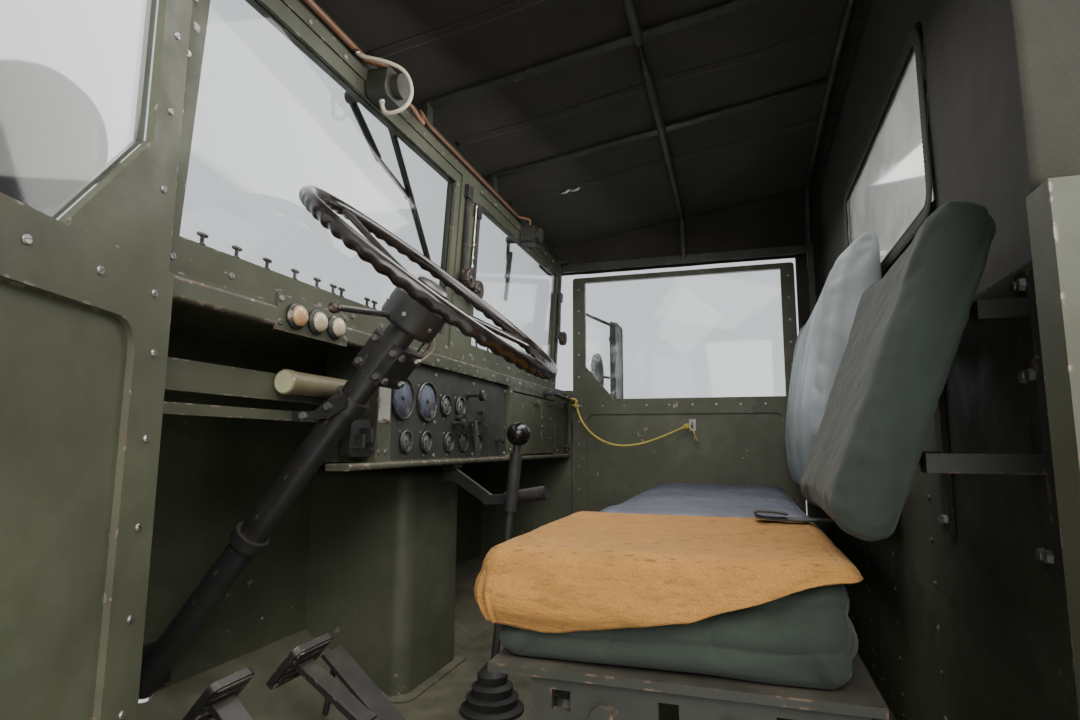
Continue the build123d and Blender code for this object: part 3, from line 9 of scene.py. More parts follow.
import bpy
import bmesh
from math import atan2, cos, pi, radians, sin, sqrt
from mathutils import Matrix, Vector, noise
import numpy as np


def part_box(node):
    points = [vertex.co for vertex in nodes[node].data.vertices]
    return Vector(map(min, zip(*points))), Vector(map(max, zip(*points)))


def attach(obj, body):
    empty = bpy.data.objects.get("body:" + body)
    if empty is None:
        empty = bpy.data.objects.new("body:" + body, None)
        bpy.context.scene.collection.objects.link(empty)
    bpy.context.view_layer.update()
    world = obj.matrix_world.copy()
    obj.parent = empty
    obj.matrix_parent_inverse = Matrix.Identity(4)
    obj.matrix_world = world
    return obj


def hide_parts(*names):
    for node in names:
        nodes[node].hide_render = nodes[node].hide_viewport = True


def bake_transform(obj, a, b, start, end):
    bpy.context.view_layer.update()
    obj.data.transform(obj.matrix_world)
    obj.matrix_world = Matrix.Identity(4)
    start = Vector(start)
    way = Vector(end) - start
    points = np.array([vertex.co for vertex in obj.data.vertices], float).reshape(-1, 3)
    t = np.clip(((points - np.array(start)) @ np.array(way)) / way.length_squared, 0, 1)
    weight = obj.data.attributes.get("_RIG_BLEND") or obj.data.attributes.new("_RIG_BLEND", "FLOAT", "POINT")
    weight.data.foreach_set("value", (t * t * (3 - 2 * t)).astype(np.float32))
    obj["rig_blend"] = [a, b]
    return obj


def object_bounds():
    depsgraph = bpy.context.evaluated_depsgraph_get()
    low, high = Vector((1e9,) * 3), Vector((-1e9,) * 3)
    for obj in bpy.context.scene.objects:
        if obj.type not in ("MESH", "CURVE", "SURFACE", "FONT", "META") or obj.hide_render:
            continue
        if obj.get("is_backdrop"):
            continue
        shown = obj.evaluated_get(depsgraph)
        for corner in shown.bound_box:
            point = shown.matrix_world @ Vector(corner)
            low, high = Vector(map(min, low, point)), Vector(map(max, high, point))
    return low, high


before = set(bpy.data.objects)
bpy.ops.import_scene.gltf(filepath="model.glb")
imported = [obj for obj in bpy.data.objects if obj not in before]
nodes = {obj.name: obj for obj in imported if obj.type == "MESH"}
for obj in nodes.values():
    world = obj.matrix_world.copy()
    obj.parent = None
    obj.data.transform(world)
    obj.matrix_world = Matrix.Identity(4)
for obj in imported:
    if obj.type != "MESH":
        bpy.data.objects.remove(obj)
cad_low, cad_high = (list(corner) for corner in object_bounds())
print("CAD box", [round(v, 3) for v in cad_low], [round(v, 3) for v in cad_high])

# %% [markdown]
# ## The camera
#
# The photograph was taken through the open driver's door, at about the height of the seat.
# The lens is a phone's wide one. Place and direction were found by matching the corners of
# the windscreen, the right door's window and the steering wheel.

# %% Camera
def linked(name, data):
    """A new object in the scene, at the origin."""
    made = bpy.data.objects.new(name, data)
    bpy.context.scene.collection.objects.link(made)
    return made


PHOTO_WIDTH, FOCAL = 1080.0, 629.0      # both in pixels of the photograph
EYE = Vector((1.509, 0.135, 0.687))
FORWARD = Vector((-0.9447, -0.2995, 0.1336)).normalized()
RIGHT = Vector((-0.3016, 0.9534, 0.0050)).normalized()
UP = RIGHT.cross(FORWARD).normalized()
RIGHT = FORWARD.cross(UP).normalized()

lens = bpy.data.cameras.new("doorway_camera")
lens.sensor_width = 36.0
lens.lens = lens.sensor_width * FOCAL / PHOTO_WIDTH
lens.clip_start = 0.01
camera = linked("doorway_camera", lens)
camera.matrix_world = Matrix((
    (RIGHT.x, UP.x, -FORWARD.x, EYE.x),
    (RIGHT.y, UP.y, -FORWARD.y, EYE.y),
    (RIGHT.z, UP.z, -FORWARD.z, EYE.z),
    (0, 0, 0, 1)))
bpy.context.scene.camera = camera
print("camera", [round(v, 3) for v in EYE], "lens", round(lens.lens, 2), "mm")

# %% [markdown]
# ## Making meshes
#
# Every piece is a mesh whose place is in its points, with the object itself at the origin.
# A few short helpers keep the later cells readable: one turns lists into an object, one
# makes a grid of points into a sheet with a UV map in metres, so that cloth patterns can
# follow the surface, and one turns a profile round an axis.

# %% Mesh helpers
def coat(mesh, finish):
    """Makes one finish the only one of a mesh."""
    mesh.materials.clear()
    mesh.materials.append(finish)


def as_object(name, mesh, finish=None, smooth=True):
    """Puts a mesh in the scene, with its finish and soft shading; smooth None leaves the shading."""
    piece = linked(name, mesh)
    if finish is not None:
        coat(mesh, finish)
    if smooth is not None:
        mesh.polygons.foreach_set("use_smooth", [smooth] * len(mesh.polygons))
    return piece


def from_lists(name, points, faces, finish=None, smooth=True):
    mesh = bpy.data.meshes.new(name)
    mesh.from_pydata([tuple(p) for p in points], [], faces)
    mesh.update()
    return as_object(name, mesh, finish, smooth)


def quads(tall, wide, closed):
    """The faces of a grid of points, as four (row, column) pairs each; closed joins its ends."""
    for i in range(tall - 1):
        for j in range(wide if closed else wide - 1):
            k = (j + 1) % wide
            yield (i, j), (i, k), (i + 1, k), (i + 1, j)


def grid_piece(name, rows, finish, closed):
    wide = len(rows[0])
    faces = [tuple(i * wide + j for i, j in quad) for quad in quads(len(rows), wide, closed)]
    return from_lists(name, [p for row in rows for p in row], faces, finish)


def sheet_from_grid(name, rows, finish=None, closed=False):
    """A sheet through rows of points; its UV map runs along the surface in metres."""
    tall, wide = len(rows), len(rows[0])
    marks = []
    along = [[0.0] * wide for _ in rows]
    down = [[0.0] * wide for _ in rows]
    for i in range(tall):
        for j in range(wide):
            if j:
                along[i][j] = along[i][j - 1] + (Vector(rows[i][j]) - Vector(rows[i][j - 1])).length
            if i:
                down[i][j] = down[i - 1][j] + (Vector(rows[i][j]) - Vector(rows[i - 1][j])).length
    for (i, j), (_, k), _, _ in quads(tall, wide, closed):
        edge = along[i][j] + (Vector(rows[i][k]) - Vector(rows[i][j])).length if k == 0 else along[i][k]
        marks += [(along[i][j], down[i][j]), (edge, down[i][k])]
        marks += [(edge, down[i + 1][k]), (along[i][j], down[i + 1][j])]
    piece = grid_piece(name, rows, finish, closed)
    layer = piece.data.uv_layers.new(name="UVMap")
    for loop, mark in zip(layer.data, marks):
        loop.uv = mark
    return piece


def ring(sides):
    """The cosine and sine of evenly spaced angles round a circle."""
    return [(cos(2 * pi * k / sides), sin(2 * pi * k / sides)) for k in range(sides)]


def turned(name, profile, place, finish=None, steps=32):
    """A piece turned round local Z from an (r, z) profile, then set in place by a matrix."""
    rows = [[place @ Vector((r * c, r * s, z)) for c, s in ring(steps)] for r, z in profile]
    return tidy(grid_piece(name, rows, finish, closed=True))


def tidy(piece, distance=1e-5):
    """Merges doubles and points every face outwards."""
    bm = bmesh.new()
    bm.from_mesh(piece.data)
    bmesh.ops.remove_doubles(bm, verts=bm.verts, dist=distance)
    bmesh.ops.recalc_face_normals(bm, faces=bm.faces)
    bm.to_mesh(piece.data)
    bm.free()
    return piece


def bake_modifiers(piece):
    """Replaces a piece's mesh by the result of its modifiers."""
    bpy.context.view_layer.update()
    graph = bpy.context.evaluated_depsgraph_get()
    result = bpy.data.meshes.new_from_object(piece.evaluated_get(graph))
    piece.modifiers.clear()
    piece.data = result
    return piece


def thicken(piece, thickness, offset=0.0):
    """Gives a sheet its thickness."""
    skin = piece.modifiers.new("thickness", "SOLIDIFY")
    skin.thickness, skin.offset = thickness, offset
    bake_modifiers(piece)


def join_pieces(name, pieces, smooth=True):
    """Makes one mesh of several, all in the same place; every part keeps its own finish."""
    finishes = []
    mesh = bpy.data.meshes.new(name)
    bm = bmesh.new()
    for piece in pieces:
        own = piece.data.materials[0]
        if own not in finishes:
            finishes.append(own)
        first = len(bm.faces)
        bm.from_mesh(piece.data)
        bm.faces.ensure_lookup_table()
        for face in bm.faces[first:]:
            face.material_index = finishes.index(own)
    bm.to_mesh(mesh)
    bm.free()
    for finish in finishes:
        mesh.materials.append(finish)
    for piece in pieces:
        bpy.data.objects.remove(piece)
    return as_object(name, mesh, smooth=smooth)


def sections(path, closed=False):
    """Each point of a line with two directions across it, carried along without twisting."""
    count, normal = len(path), None
    for i, p in enumerate(path):
        ahead = path[(i + 1) % count] if closed or i < count - 1 else p
        behind = path[i - 1] if closed or i else p
        along = (ahead - behind).normalized()
        if normal is None:
            normal = along.orthogonal().normalized()
        normal = (normal - along * normal.dot(along)).normalized()
        yield p, normal, along.cross(normal)


def tube(name, path, radius, finish=None, sides=10, closed=False):
    """A round tube along points; the radius is one number or one for each point."""
    count = len(path)
    path = [Vector(p) for p in path]
    radii = radius if isinstance(radius, list) else [radius] * count
    points, faces = [], []
    for (p, normal, side), r in zip(sections(path, closed), radii):
        points += [p + (normal * c + side * s) * r for c, s in ring(sides)]
    for i in range(count if closed else count - 1):
        j = (i + 1) % count
        for k in range(sides):
            m = (k + 1) % sides
            faces.append((i * sides + k, i * sides + m, j * sides + m, j * sides + k))
    if not closed:
        faces.append(tuple(range(sides))[::-1])
        faces.append(tuple((count - 1) * sides + k for k in range(sides)))
    return from_lists(name, points, faces, finish)


def close_ends(piece, wide):
    """Closes the first and the last ring of a rolled sheet, and points every face outwards."""
    bm = bmesh.new()
    bm.from_mesh(piece.data)
    bm.verts.ensure_lookup_table()
    bm.faces.new(bm.verts[:wide][::-1])
    bm.faces.new(bm.verts[-wide:])
    bmesh.ops.recalc_face_normals(bm, faces=bm.faces)
    bm.to_mesh(piece.data)
    bm.free()
    return piece


def soft_noise(point, size, seed=0.0):
    """Smooth noise between -1 and 1 with bumps of about that size."""
    return noise.noise(Vector(point) / size + Vector((seed, seed * 1.7, -seed)))


def spread(low, high, count):
    """Evenly spaced numbers, both ends included."""
    return [low + (high - low) * k / (count - 1) for k in range(count)]


def line_length(points):
    return sum((b - a).length for a, b in zip(points, points[1:]))


STEP = 0.012


def in_steps(loop):
    """A closed line with its long sides cut into pieces of about one step."""
    fine = []
    for a, b in zip(loop, loop[1:] + loop[:1]):
        count = max(1, int((b - a).length / STEP))
        fine += [a.lerp(b, k / count) for k in range(count)]
    return fine


def rounded_loop(low, high, corner, steps, place):
    """A rounded rectangle between two (u, v) corners, put in space by place(u, v)."""
    loop = []
    for right, up, start in ((1, 1, 0), (0, 1, 90), (0, 0, 180), (1, 0, 270)):
        u = high[0] - corner if right else low[0] + corner
        v = high[1] - corner if up else low[1] + corner
        for k in range(steps + 1):
            a = radians(start + 90 * k / steps)
            loop.append(place(u + corner * cos(a), v + corner * sin(a)))
    return in_steps(loop)


def smooth_route(points, fineness=24):
    """Points read from the NURBS spline through a route's control points."""
    line = bpy.data.curves.new("route", "CURVE")
    line.dimensions = "3D"
    spline = line.splines.new("NURBS")
    spline.points.add(len(points) - 1)
    for spot, place in zip(spline.points, points):
        spot.co = (*place, 1)
    spline.order_u = 3
    spline.use_endpoint_u = True
    line.resolution_u = fineness
    holder = bpy.data.objects.new("route", line)
    path = [v.co.copy() for v in bpy.data.meshes.new_from_object(holder).vertices]
    bpy.data.objects.remove(holder)
    return path


def corners_of(node):
    return tuple(Vector(corner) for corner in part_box(node))


def fit(piece, slot, *solids, body="cab"):
    """Says which body carries a piece and which solids it stands for; the slot, what it is made of, is not
    used.
    """
    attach(piece, body)
    if solids:
        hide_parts(*solids)
    print(piece.name, len(piece.data.polygons), "faces")


# %% [markdown]
# ## Making finishes
#
# A finish is a material built from nodes. The class below keeps the wiring short: each
# method adds a node and gives back its output, so a finish reads as a list of what the
# surface shows: broad stains, fine grain, chips along the edges, dust on what faces up.

# %% Finish helper
def wire(tree, kind, settings=None, plugs=None):
    """Adds a node to a tree, with its settings and what goes into its inputs."""
    made = tree.nodes.new(kind)
    for key, value in (settings or {}).items():
        setattr(made, key, value)
    for key, value in (plugs or {}).items():
        plug(tree, made.inputs[key], value)
    return made


def plug(tree, socket, value):
    """Gives an input its value, or links what feeds it."""
    if isinstance(value, bpy.types.NodeSocket):
        tree.links.new(value, socket)
    else:
        socket.default_value = value


def rgba(value):
    """A colour with its fourth number; a wire stays as it is."""
    return value if isinstance(value, bpy.types.NodeSocket) or len(value) == 4 else (*value, 1.0)


def tint(colour, factor, lift=0.0):
    """A colour made deeper or paler."""
    return tuple(min(1, c * factor + lift) for c in colour)


class Finish:
    """A material being wired up, with its shader and the place of the surface."""

    def __init__(self, name, rough=0.5, metal=0.0):
        self.material = bpy.data.materials.new(name)
        self.material.use_nodes = True
        self.tree = self.material.node_tree
        self.shader = self.tree.nodes["Principled BSDF"]
        self.place = self.node("ShaderNodeTexCoord").outputs["Object"]
        self.set("Roughness", rough)
        self.set("Metallic", metal)

    def node(self, kind, settings=None, plugs=None):
        return wire(self.tree, kind, settings, plugs)

    def set(self, name, value):
        plug(self.tree, self.shader.inputs[name], rgba(value) if isinstance(value, tuple) else value)

    def along(self):
        """The piece's own UV map, in metres along the cloth."""
        return self.node("ShaderNodeTexCoord").outputs["UV"]

    def noise(self, scale, detail=3.0, rough=0.55, stretch=None, at=None):
        place = at or self.place
        if stretch:
            place = self.node("ShaderNodeMapping", plugs={"Vector": place, "Scale": stretch}).outputs[0]
        return self.node("ShaderNodeTexNoise", plugs={
            "Vector": place, "Scale": scale, "Detail": detail, "Roughness": rough}).outputs["Fac"]

    def cells(self, scale, kind="F1"):
        return self.node("ShaderNodeTexVoronoi", {"feature": kind}, {
            "Vector": self.place, "Scale": scale}).outputs["Distance"]

    def threads(self, scale, axis):
        """Parallel threads along the piece's own UV map, a little uneven."""
        return self.node("ShaderNodeTexWave", {"bands_direction": axis, "wave_profile": "SIN"}, {
            "Vector": self.along(), "Scale": scale, "Distortion": 0.6, "Detail": 1.0}).outputs["Fac"]

    def between(self, value, low, high, to_low=0.0, to_high=1.0):
        return self.node("ShaderNodeMapRange", {"interpolation_type": "SMOOTHSTEP"}, {
            "Value": value, "From Min": low, "From Max": high, "To Min": to_low,
            "To Max": to_high}).outputs[0]

    def maths(self, kind, a, b=0.0):
        return self.node("ShaderNodeMath", {"operation": kind}, {0: a, 1: b}).outputs[0]

    def mix(self, share, first, second):
        return self.node("ShaderNodeMix", {"data_type": "RGBA"}, {
            0: share, 6: rgba(first), 7: rgba(second)}).outputs[2]

    def facing_up(self):
        """1 where the surface faces up, 0 on walls and undersides."""
        normal = self.node("ShaderNodeNewGeometry").outputs["Normal"]
        return self.between(self.node("ShaderNodeSeparateXYZ", plugs={0: normal}).outputs[2], 0.45, 0.95)

    def edges(self, width=0.004):
        """1 along sharp edges, from the angle between the true and the rounded normal."""
        geometry = self.node("ShaderNodeNewGeometry").outputs["Normal"]
        rounded = self.node("ShaderNodeBevel", {"samples": 4}, {"Radius": width}).outputs[0]
        gap = self.node("ShaderNodeVectorMath", {"operation": "DISTANCE"},
                        {0: geometry, 1: rounded}).outputs["Value"]
        return self.between(gap, 0.02, 0.14)

    def relief(self, height, strength=0.3, depth=0.001, under=None):
        """Bumps from a height, over the bumps of an earlier relief."""
        plugs = {"Height": height, "Strength": strength, "Distance": depth}
        if under is not None:
            plugs["Normal"] = under
        bump = self.node("ShaderNodeBump", plugs=plugs).outputs[0]
        self.set("Normal", bump)
        return bump


# %% [markdown]
# ## The painted steel
#
# The cab is sheet steel in a flat military green. Years of boots, dust and sun have left it
# stained in broad patches, rubbed bright on its edges and dusty on top. The same recipe,
# with other numbers, serves the body, the dash and the darker fittings.

# %% Paint
DUST = (0.30, 0.26, 0.20)
RUST = (0.10, 0.055, 0.03)


def paint(name, colour, rough=0.55, wear=0.5, dust=0.35, bare=(0.30, 0.28, 0.25)):
    """Flat paint on steel: stains, orange peel, rubbed edges with rust round them, dust."""
    f = Finish(name)
    base = f.mix(f.between(f.noise(3.5, 5), 0.3, 0.72), tint(colour, 0.70), tint(colour, 1.25, 0.006))
    base = f.mix(f.between(f.noise(38, 4), 0.42, 0.72, 0.0, 0.55), base, colour)
    rub = f.maths("MULTIPLY", f.edges(), f.between(f.noise(55, 4), 0.62 - 0.22 * wear, 0.70))
    knocks = f.maths("MULTIPLY", f.noise(34, 7, 0.72), f.between(f.noise(4.5, 2), 0.35, 0.75, 0.82, 1.08))
    chips = f.between(knocks, 0.665 - 0.03 * wear, 0.685)
    worn = f.maths("MAXIMUM", rub, chips)
    base = f.mix(f.between(worn, 0.02, 0.35), base, RUST)
    base = f.mix(f.between(worn, 0.35, 0.75), base, bare)
    dusty = f.maths("MULTIPLY", f.facing_up(), f.between(f.noise(14, 4), 0.25, 0.75, dust * 0.3, dust))
    base = f.mix(dusty, base, DUST)
    f.set("Base Color", base)
    f.set("Roughness", f.between(f.noise(20, 3), 0.2, 0.8, rough - 0.1, rough + 0.15))
    f.set("Metallic", f.between(worn, 0.4, 0.9, 0.0, 0.7))
    f.relief(f.maths("SUBTRACT", f.noise(420, 2), f.maths("MULTIPLY", worn, 1.5)), 0.16, 0.0006)
    return f.material


body_green = (0.062, 0.068, 0.041)
cab_paint = paint("cab_paint", body_green)
door_paint = paint("door_paint", (0.066, 0.072, 0.043), wear=0.4)
dash_paint = paint("dash_paint", (0.056, 0.062, 0.038), rough=0.5, wear=0.8)
dark_paint = paint("dark_paint", (0.030, 0.032, 0.024), rough=0.55, wear=0.5, dust=0.25,
                   bare=(0.21, 0.155, 0.11))
black_enamel = paint("black_enamel", (0.018, 0.018, 0.018), rough=0.38, wear=0.4, dust=0.2)
dark_knob = paint("dark_knob", (0.032, 0.020, 0.014), rough=0.42, wear=0.4, dust=0.1)
can_olive = paint("can_olive", (0.15, 0.132, 0.076), rough=0.42, wear=0.35, dust=0.15)
can_lid = paint("can_lid", (0.36, 0.36, 0.22), rough=0.5, wear=0.2, dust=0.1)

# %% [markdown]
# ## Bare metal, plastic, rubber and glass
#
# The other hard finishes are simpler. Steel is dulled by fine scratches along one way.
# Moulded plastic has a faint grain and grease where hands rub it. Glass is clear with a
# film of dust that shows as slightly rougher patches.

# %% Steel
def steel(name, colour, rough=0.38):
    f = Finish(name, metal=0.9)
    f.set("Base Color", f.mix(f.between(f.noise(25, 4), 0.3, 0.75), colour, tint(colour, 0.45)))
    f.set("Roughness", f.between(f.noise(120, 3, stretch=(1, 1, 8)), 0.2, 0.8, rough - 0.1, rough + 0.22))
    f.relief(f.noise(600, 2, stretch=(1, 1, 6)), 0.10, 0.0004)
    return f.material


bare_steel = steel("bare_steel", (0.42, 0.41, 0.39))
bright_ring = steel("bright_ring", (0.62, 0.60, 0.55), 0.22)

# %% Plastic and rubber
def moulded(name, colour, rough=0.42, grain=300, depth=0.0003, rubbed=0.5):
    """Moulded plastic or rubber: fine grain, greasy rubbed patches, greyed edges."""
    f = Finish(name)
    base = f.mix(f.between(f.noise(9, 4), 0.35, 0.75), colour, tint(colour, 1, 0.05 * rubbed))
    worn = f.maths("MULTIPLY", f.edges(0.003), f.between(f.noise(60, 3), 0.4, 0.7, 0, rubbed))
    base = f.mix(worn, base, tint(colour, 1, 0.14))
    f.set("Base Color", base)
    f.set("Roughness", f.between(f.noise(16, 3), 0.25, 0.75, rough - 0.14, rough + 0.16))
    f.relief(f.noise(grain, 3), 0.22, depth)
    return f.material


black_plastic = moulded("black_plastic", (0.016, 0.015, 0.014), 0.34)
rubber_black = moulded("rubber_black", (0.020, 0.019, 0.018), 0.62, 180, 0.0006, 0.3)
wheel_plastic = moulded("wheel_plastic", (0.012, 0.008, 0.006), 0.22, 240, 0.0002, 0.25)
gloss_black = moulded("gloss_black", (0.008, 0.007, 0.007), 0.16, 300, 0.0001, 0.1)
gauge_black = moulded("gauge_black", (0.014, 0.014, 0.016), 0.30)
pipe_brown = moulded("pipe_brown", (0.16, 0.075, 0.035), 0.45, 150, 0.0005, 0.4)
pale_hose = moulded("pale_hose", (0.42, 0.38, 0.28), 0.5, 200, 0.0004, 0.4)
mirror_case = moulded("mirror_case", (0.020, 0.022, 0.020), 0.45)

# %% Glass
def clear(name, colour, film=0.5, rough=0.02, thin=0.0):
    """Clear pane with a film of dust; a thin one lets the light straight through to what lies under it."""
    f = Finish(name, rough)
    f.set("Base Color", colour)
    f.set("Transmission Weight", 1.0 - thin)
    f.set("Alpha", 1.0 - 0.8 * thin)
    f.set("IOR", 1.45)
    f.set("Roughness", f.between(f.noise(7, 5), 0.35, 0.9, rough, rough + 0.22 * film))
    return f.material


glass = clear("pane_glass", (0.93, 0.97, 0.96))
clear_sheet = clear("clear_sheet", (0.86, 0.86, 0.78), 1.0, 0.06)
lens_glass = clear("lens_glass", (0.02, 0.02, 0.02), 0.3, thin=1.0)      # the dials are lit through it

# %% [markdown]
# ## Floor, backdrop and lamps
#
# The scene is a plain pale floor with soft light from all round. The cab has a roof, so a
# few soft lamps hang inside it too, as a photographer would hide them, at a level where
# each colour shows about as it is written. The camera doesn't see the lamps themselves.

# %% Stage
floor_finish = Finish("studio_floor", 0.85)
floor_finish.set("Base Color", (0.80, 0.79, 0.77))
corners = [(x, y, -0.001) for x, y in ((-14, -14), (14, -14), (14, 14), (-14, 14))]
floor = from_lists("studio_floor", corners, [(0, 1, 2, 3)], floor_finish.material, smooth=False)
floor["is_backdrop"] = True

world = bpy.data.worlds.new("studio")
bpy.context.scene.world = world
world.use_nodes = True
sky = world.node_tree
rays = wire(sky, "ShaderNodeLightPath").outputs
seen = wire(sky, "ShaderNodeMath", {"operation": "MAXIMUM"},
            {0: rays["Is Camera Ray"], 1: rays["Is Transmission Ray"]})
gloss = wire(sky, "ShaderNodeMath", {"operation": "MAXIMUM"}, {0: seen.outputs[0], 1: rays["Is Glossy Ray"]})
level = wire(sky, "ShaderNodeMapRange", None, {"Value": gloss.outputs[0], "To Min": 0.75, "To Max": 0.95})
backdrop = sky.nodes["Background"].inputs
plug(sky, backdrop["Color"], (0.93, 0.95, 1.0, 1))
plug(sky, backdrop["Strength"], level.outputs[0])

# %% Lamps
def soft_lamp(name, place, target, size, power, colour):
    data = bpy.data.lights.new(name, "AREA")
    data.shape = "RECTANGLE"
    data.size, data.size_y = size
    data.energy = power
    data.color = colour
    lamp = linked(name, data)
    lamp.location = place
    lamp.rotation_euler = (Vector(target) - Vector(place)).to_track_quat("-Z", "Y").to_euler()
    lamp.visible_camera = False
    lamp.visible_transmission = False


soft_lamp("key", (3.2, 2.6, 3.4), (0, 0, 0.8), (2.4, 2.4), 170, (1, 0.97, 0.92))
soft_lamp("front", (-2.4, -3.6, 2.6), (0, 0, 0.8), (2.6, 2.6), 110, (0.95, 0.97, 1))
soft_lamp("doorway", (2.3, 0.35, 1.5), (0.0, -0.35, 0.7), (1.0, 1.0), 26, (1, 0.97, 0.93))
soft_lamp("under_roof", (0.1, 0.0, 1.46), (0.05, -0.2, 0.4), (1.1, 0.5), 7, (1, 0.97, 0.93))
soft_lamp("over_dash", (0.2, -0.15, 1.36), (0.1, -0.6, 0.75), (1.3, 0.25), 4.5, (1, 0.98, 0.95))

# %% [markdown]
# ## Finishing the solids that stay
#
# Rigid pieces whose shape is right keep their CAD mesh and only get a finish. Two of them have
# a second one: the gear lever's ball is glossy, and the canister's lid is paler than its body.

# %% Finishes of the CAD nodes
SOLIDS_BY_FINISH = (
    (cab_paint, "floor_pan cowl engine_tunnel rear_wall windshield_frame pane_frame_left pane_frame_right "
                "companion_box"),
    (dark_paint, "cab_sills wiper_motors top_bows instrument_panel glovebox_tray seat_pedestal seat_frame "
                 "backrest_brackets"),
    (dash_paint, "dash_panel glovebox_lid"),
    (door_paint, "door_left door_right"),
    (black_enamel, "pane_arms wipers grab_handle steering_column clutch_pedal brake_pedal accelerator_pedal "
                   "parking_brake"),
    (black_plastic, "dash_controls horn_button"),
    (rubber_black, "gear_lever"),
    (bare_steel, "steering_shaft door_fittings_left door_fittings_right"),
    (mirror_case, "mirror_left mirror_right"),
    (glass, "pane_left pane_right door_glass_left door_glass_right"),
    (clear_sheet, "rear_window"),
    (pipe_brown, "header_hoses"),
    (can_olive, "canister"),
)
for finish, names in SOLIDS_BY_FINISH:
    for name in names.split():
        coat(nodes[name].data, finish)
KNOB, KNOB_REACH = Vector((0.140, -0.350, 0.711)), 0.0285      # the gear lever's ball
lever = nodes["gear_lever"]
lever.data.materials.append(gloss_black)
for face in lever.data.polygons:
    if (lever.matrix_world @ face.center - KNOB).length < KNOB_REACH:
        face.material_index = 1
can = nodes["canister"].data
can.materials.append(can_lid)
can_end = max(vertex.co.x for vertex in can.vertices)
for face in can.polygons:
    if abs(face.normal.x) > 0.95 and face.center.x > can_end - 0.006:
        face.material_index = 1
print(sum(len(names.split()) for _, names in SOLIDS_BY_FINISH), "solids finished")

# %% [markdown]
# ## Cloth, fleece and vinyl
#
# Woven cloth is two sets of threads that pass over and under each other. Where a piece has a
# UV map in metres, the threads follow it. A cushion that has been through the remesh has none,
# so its threads are two grains of noise, each drawn out along one way through space. Sun,
# dust and sweat stain all of them in broad soft patches.

# %% Cloth finishes
def cloth(name, colour, thread, stain=0.45, mapped=False, depth=0.0004, dust=0.3):
    """Woven cloth: threads, slubs, stains, and a dusty bloom on what faces up."""
    f = Finish(name, 0.88)
    if mapped:
        warp, weft = (f.threads(2 * pi / thread / 20, axis) for axis in "XY")
    else:
        warp, weft = (f.noise(0.8 / thread, 1, stretch=way) for way in ((0.15, 1, 1), (1, 0.15, 1)))
    weave = f.maths("ADD", warp, weft)
    deep, light = tint(colour, 1 - stain), tint(colour, 1.35, 0.012)
    base = f.mix(f.between(f.noise(5, 6), 0.32, 0.7), deep, light)
    base = f.mix(f.between(f.noise(60, 4), 0.35, 0.75, 0, 0.5), base, colour)
    base = f.mix(f.between(weave, 0.5, 1.7, 0.0, 0.22), deep, base)
    dusty = f.maths("MULTIPLY", f.facing_up(), f.between(f.noise(11, 4), 0.4, 0.8, 0, dust))
    base = f.mix(dusty, base, DUST)
    f.set("Base Color", f.mix(0.75, f.mix(f.between(f.noise(5, 6), 0.32, 0.7), deep, light), base))
    f.set("Sheen Weight", 0.10)
    f.set("Sheen Roughness", 0.5)
    under = f.relief(f.noise(70, 4), 0.35, 0.0012)
    f.relief(weave, 0.5, depth, under)
    return f.material


hood_canvas = cloth("hood_canvas", (0.040, 0.037, 0.024), 0.0013, mapped=True)
green_cloth = cloth("green_cloth", (0.034, 0.052, 0.036), 0.0012, stain=0.5, dust=0.10)
webbing = cloth("webbing", (0.050, 0.056, 0.046), 0.0022, mapped=True, depth=0.0007)

# %% Fleece
def fleece(name, colour, painted_shade):
    """Looped pile: small tufts with painted shade between them, combed and stained in patches, with short
    dark dashes of painted shadow that are strongest on top.
    """
    f = Finish(name, 0.95)
    tuft = f.cells(620)
    clump = f.noise(420, 4, 0.65)
    combed = f.noise(34, 5, 0.6, stretch=(2.2, 0.6, 1.6))
    # Painted shade between the tufts: the edges of the cells are darkened towards the second colour.
    base = f.mix(f.between(tuft, 0.1, 0.8, 0.0, 0.55), colour, painted_shade)
    base = f.mix(f.between(f.noise(7, 5), 0.45, 0.8, 0, 0.45), base, tint(colour, 0.66))
    base = f.mix(f.between(combed, 0.45, 0.68, 0, 0.50), base, tint(colour, 0.58))
    base = f.mix(f.between(clump, 0.5, 0.75, 0, 0.30), base, tint(colour, 1.22, 0.02))
    # Painted shadow: short dark dashes as cast by the tufts, darker on faces that point up than on the sides.
    dashes = f.noise(120, 3, 0.6, stretch=(1.8, 0.4, 1.6))
    marks = f.maths("MULTIPLY", f.between(dashes, 0.55, 0.68), f.between(f.facing_up(), 0.1, 0.9, 0.35, 0.85))
    base = f.mix(marks, base, tint(colour, 0.30))
    f.set("Base Color", base)
    f.set("Sheen Weight", 0.08)
    f.set("Sheen Roughness", 0.45)
    f.set("Sheen Tint", (1.0, 0.80, 0.48))
    under = f.relief(f.maths("SUBTRACT", combed, f.maths("MULTIPLY", dashes, 0.35)), 0.7, 0.005)
    f.relief(f.maths("SUBTRACT", clump, f.maths("MULTIPLY", tuft, 0.6)), 0.55, 0.0011, under)
    return f.material


seat_fleece = fleece("seat_fleece", (0.47, 0.235, 0.058), (0.25, 0.112, 0.026))

# %% Vinyl
def vinyl(name, colour, rough=0.5):
    """Coated cloth: leather-like grain, greasy and dull patches."""
    f = Finish(name, rough)
    base = f.mix(f.between(f.noise(4, 5), 0.3, 0.75), tint(colour, 0.7), tint(colour, 1.2))
    base = f.mix(f.between(f.noise(26, 4), 0.5, 0.8, 0, 0.3), base, tint(colour, 0.55))
    f.set("Base Color", base)
    f.set("Roughness", f.between(f.noise(9, 4), 0.3, 0.8, rough - 0.1, rough + 0.2))
    under = f.relief(f.noise(14, 4), 0.25, 0.003)
    f.relief(f.cells(900, "DISTANCE_TO_EDGE"), 0.18, 0.0004, under)
    return f.material


bench_vinyl = vinyl("bench_vinyl", (0.085, 0.092, 0.125))
pale_vinyl = vinyl("pale_vinyl", (0.30, 0.335, 0.350), 0.55)
print("cloth finishes made")

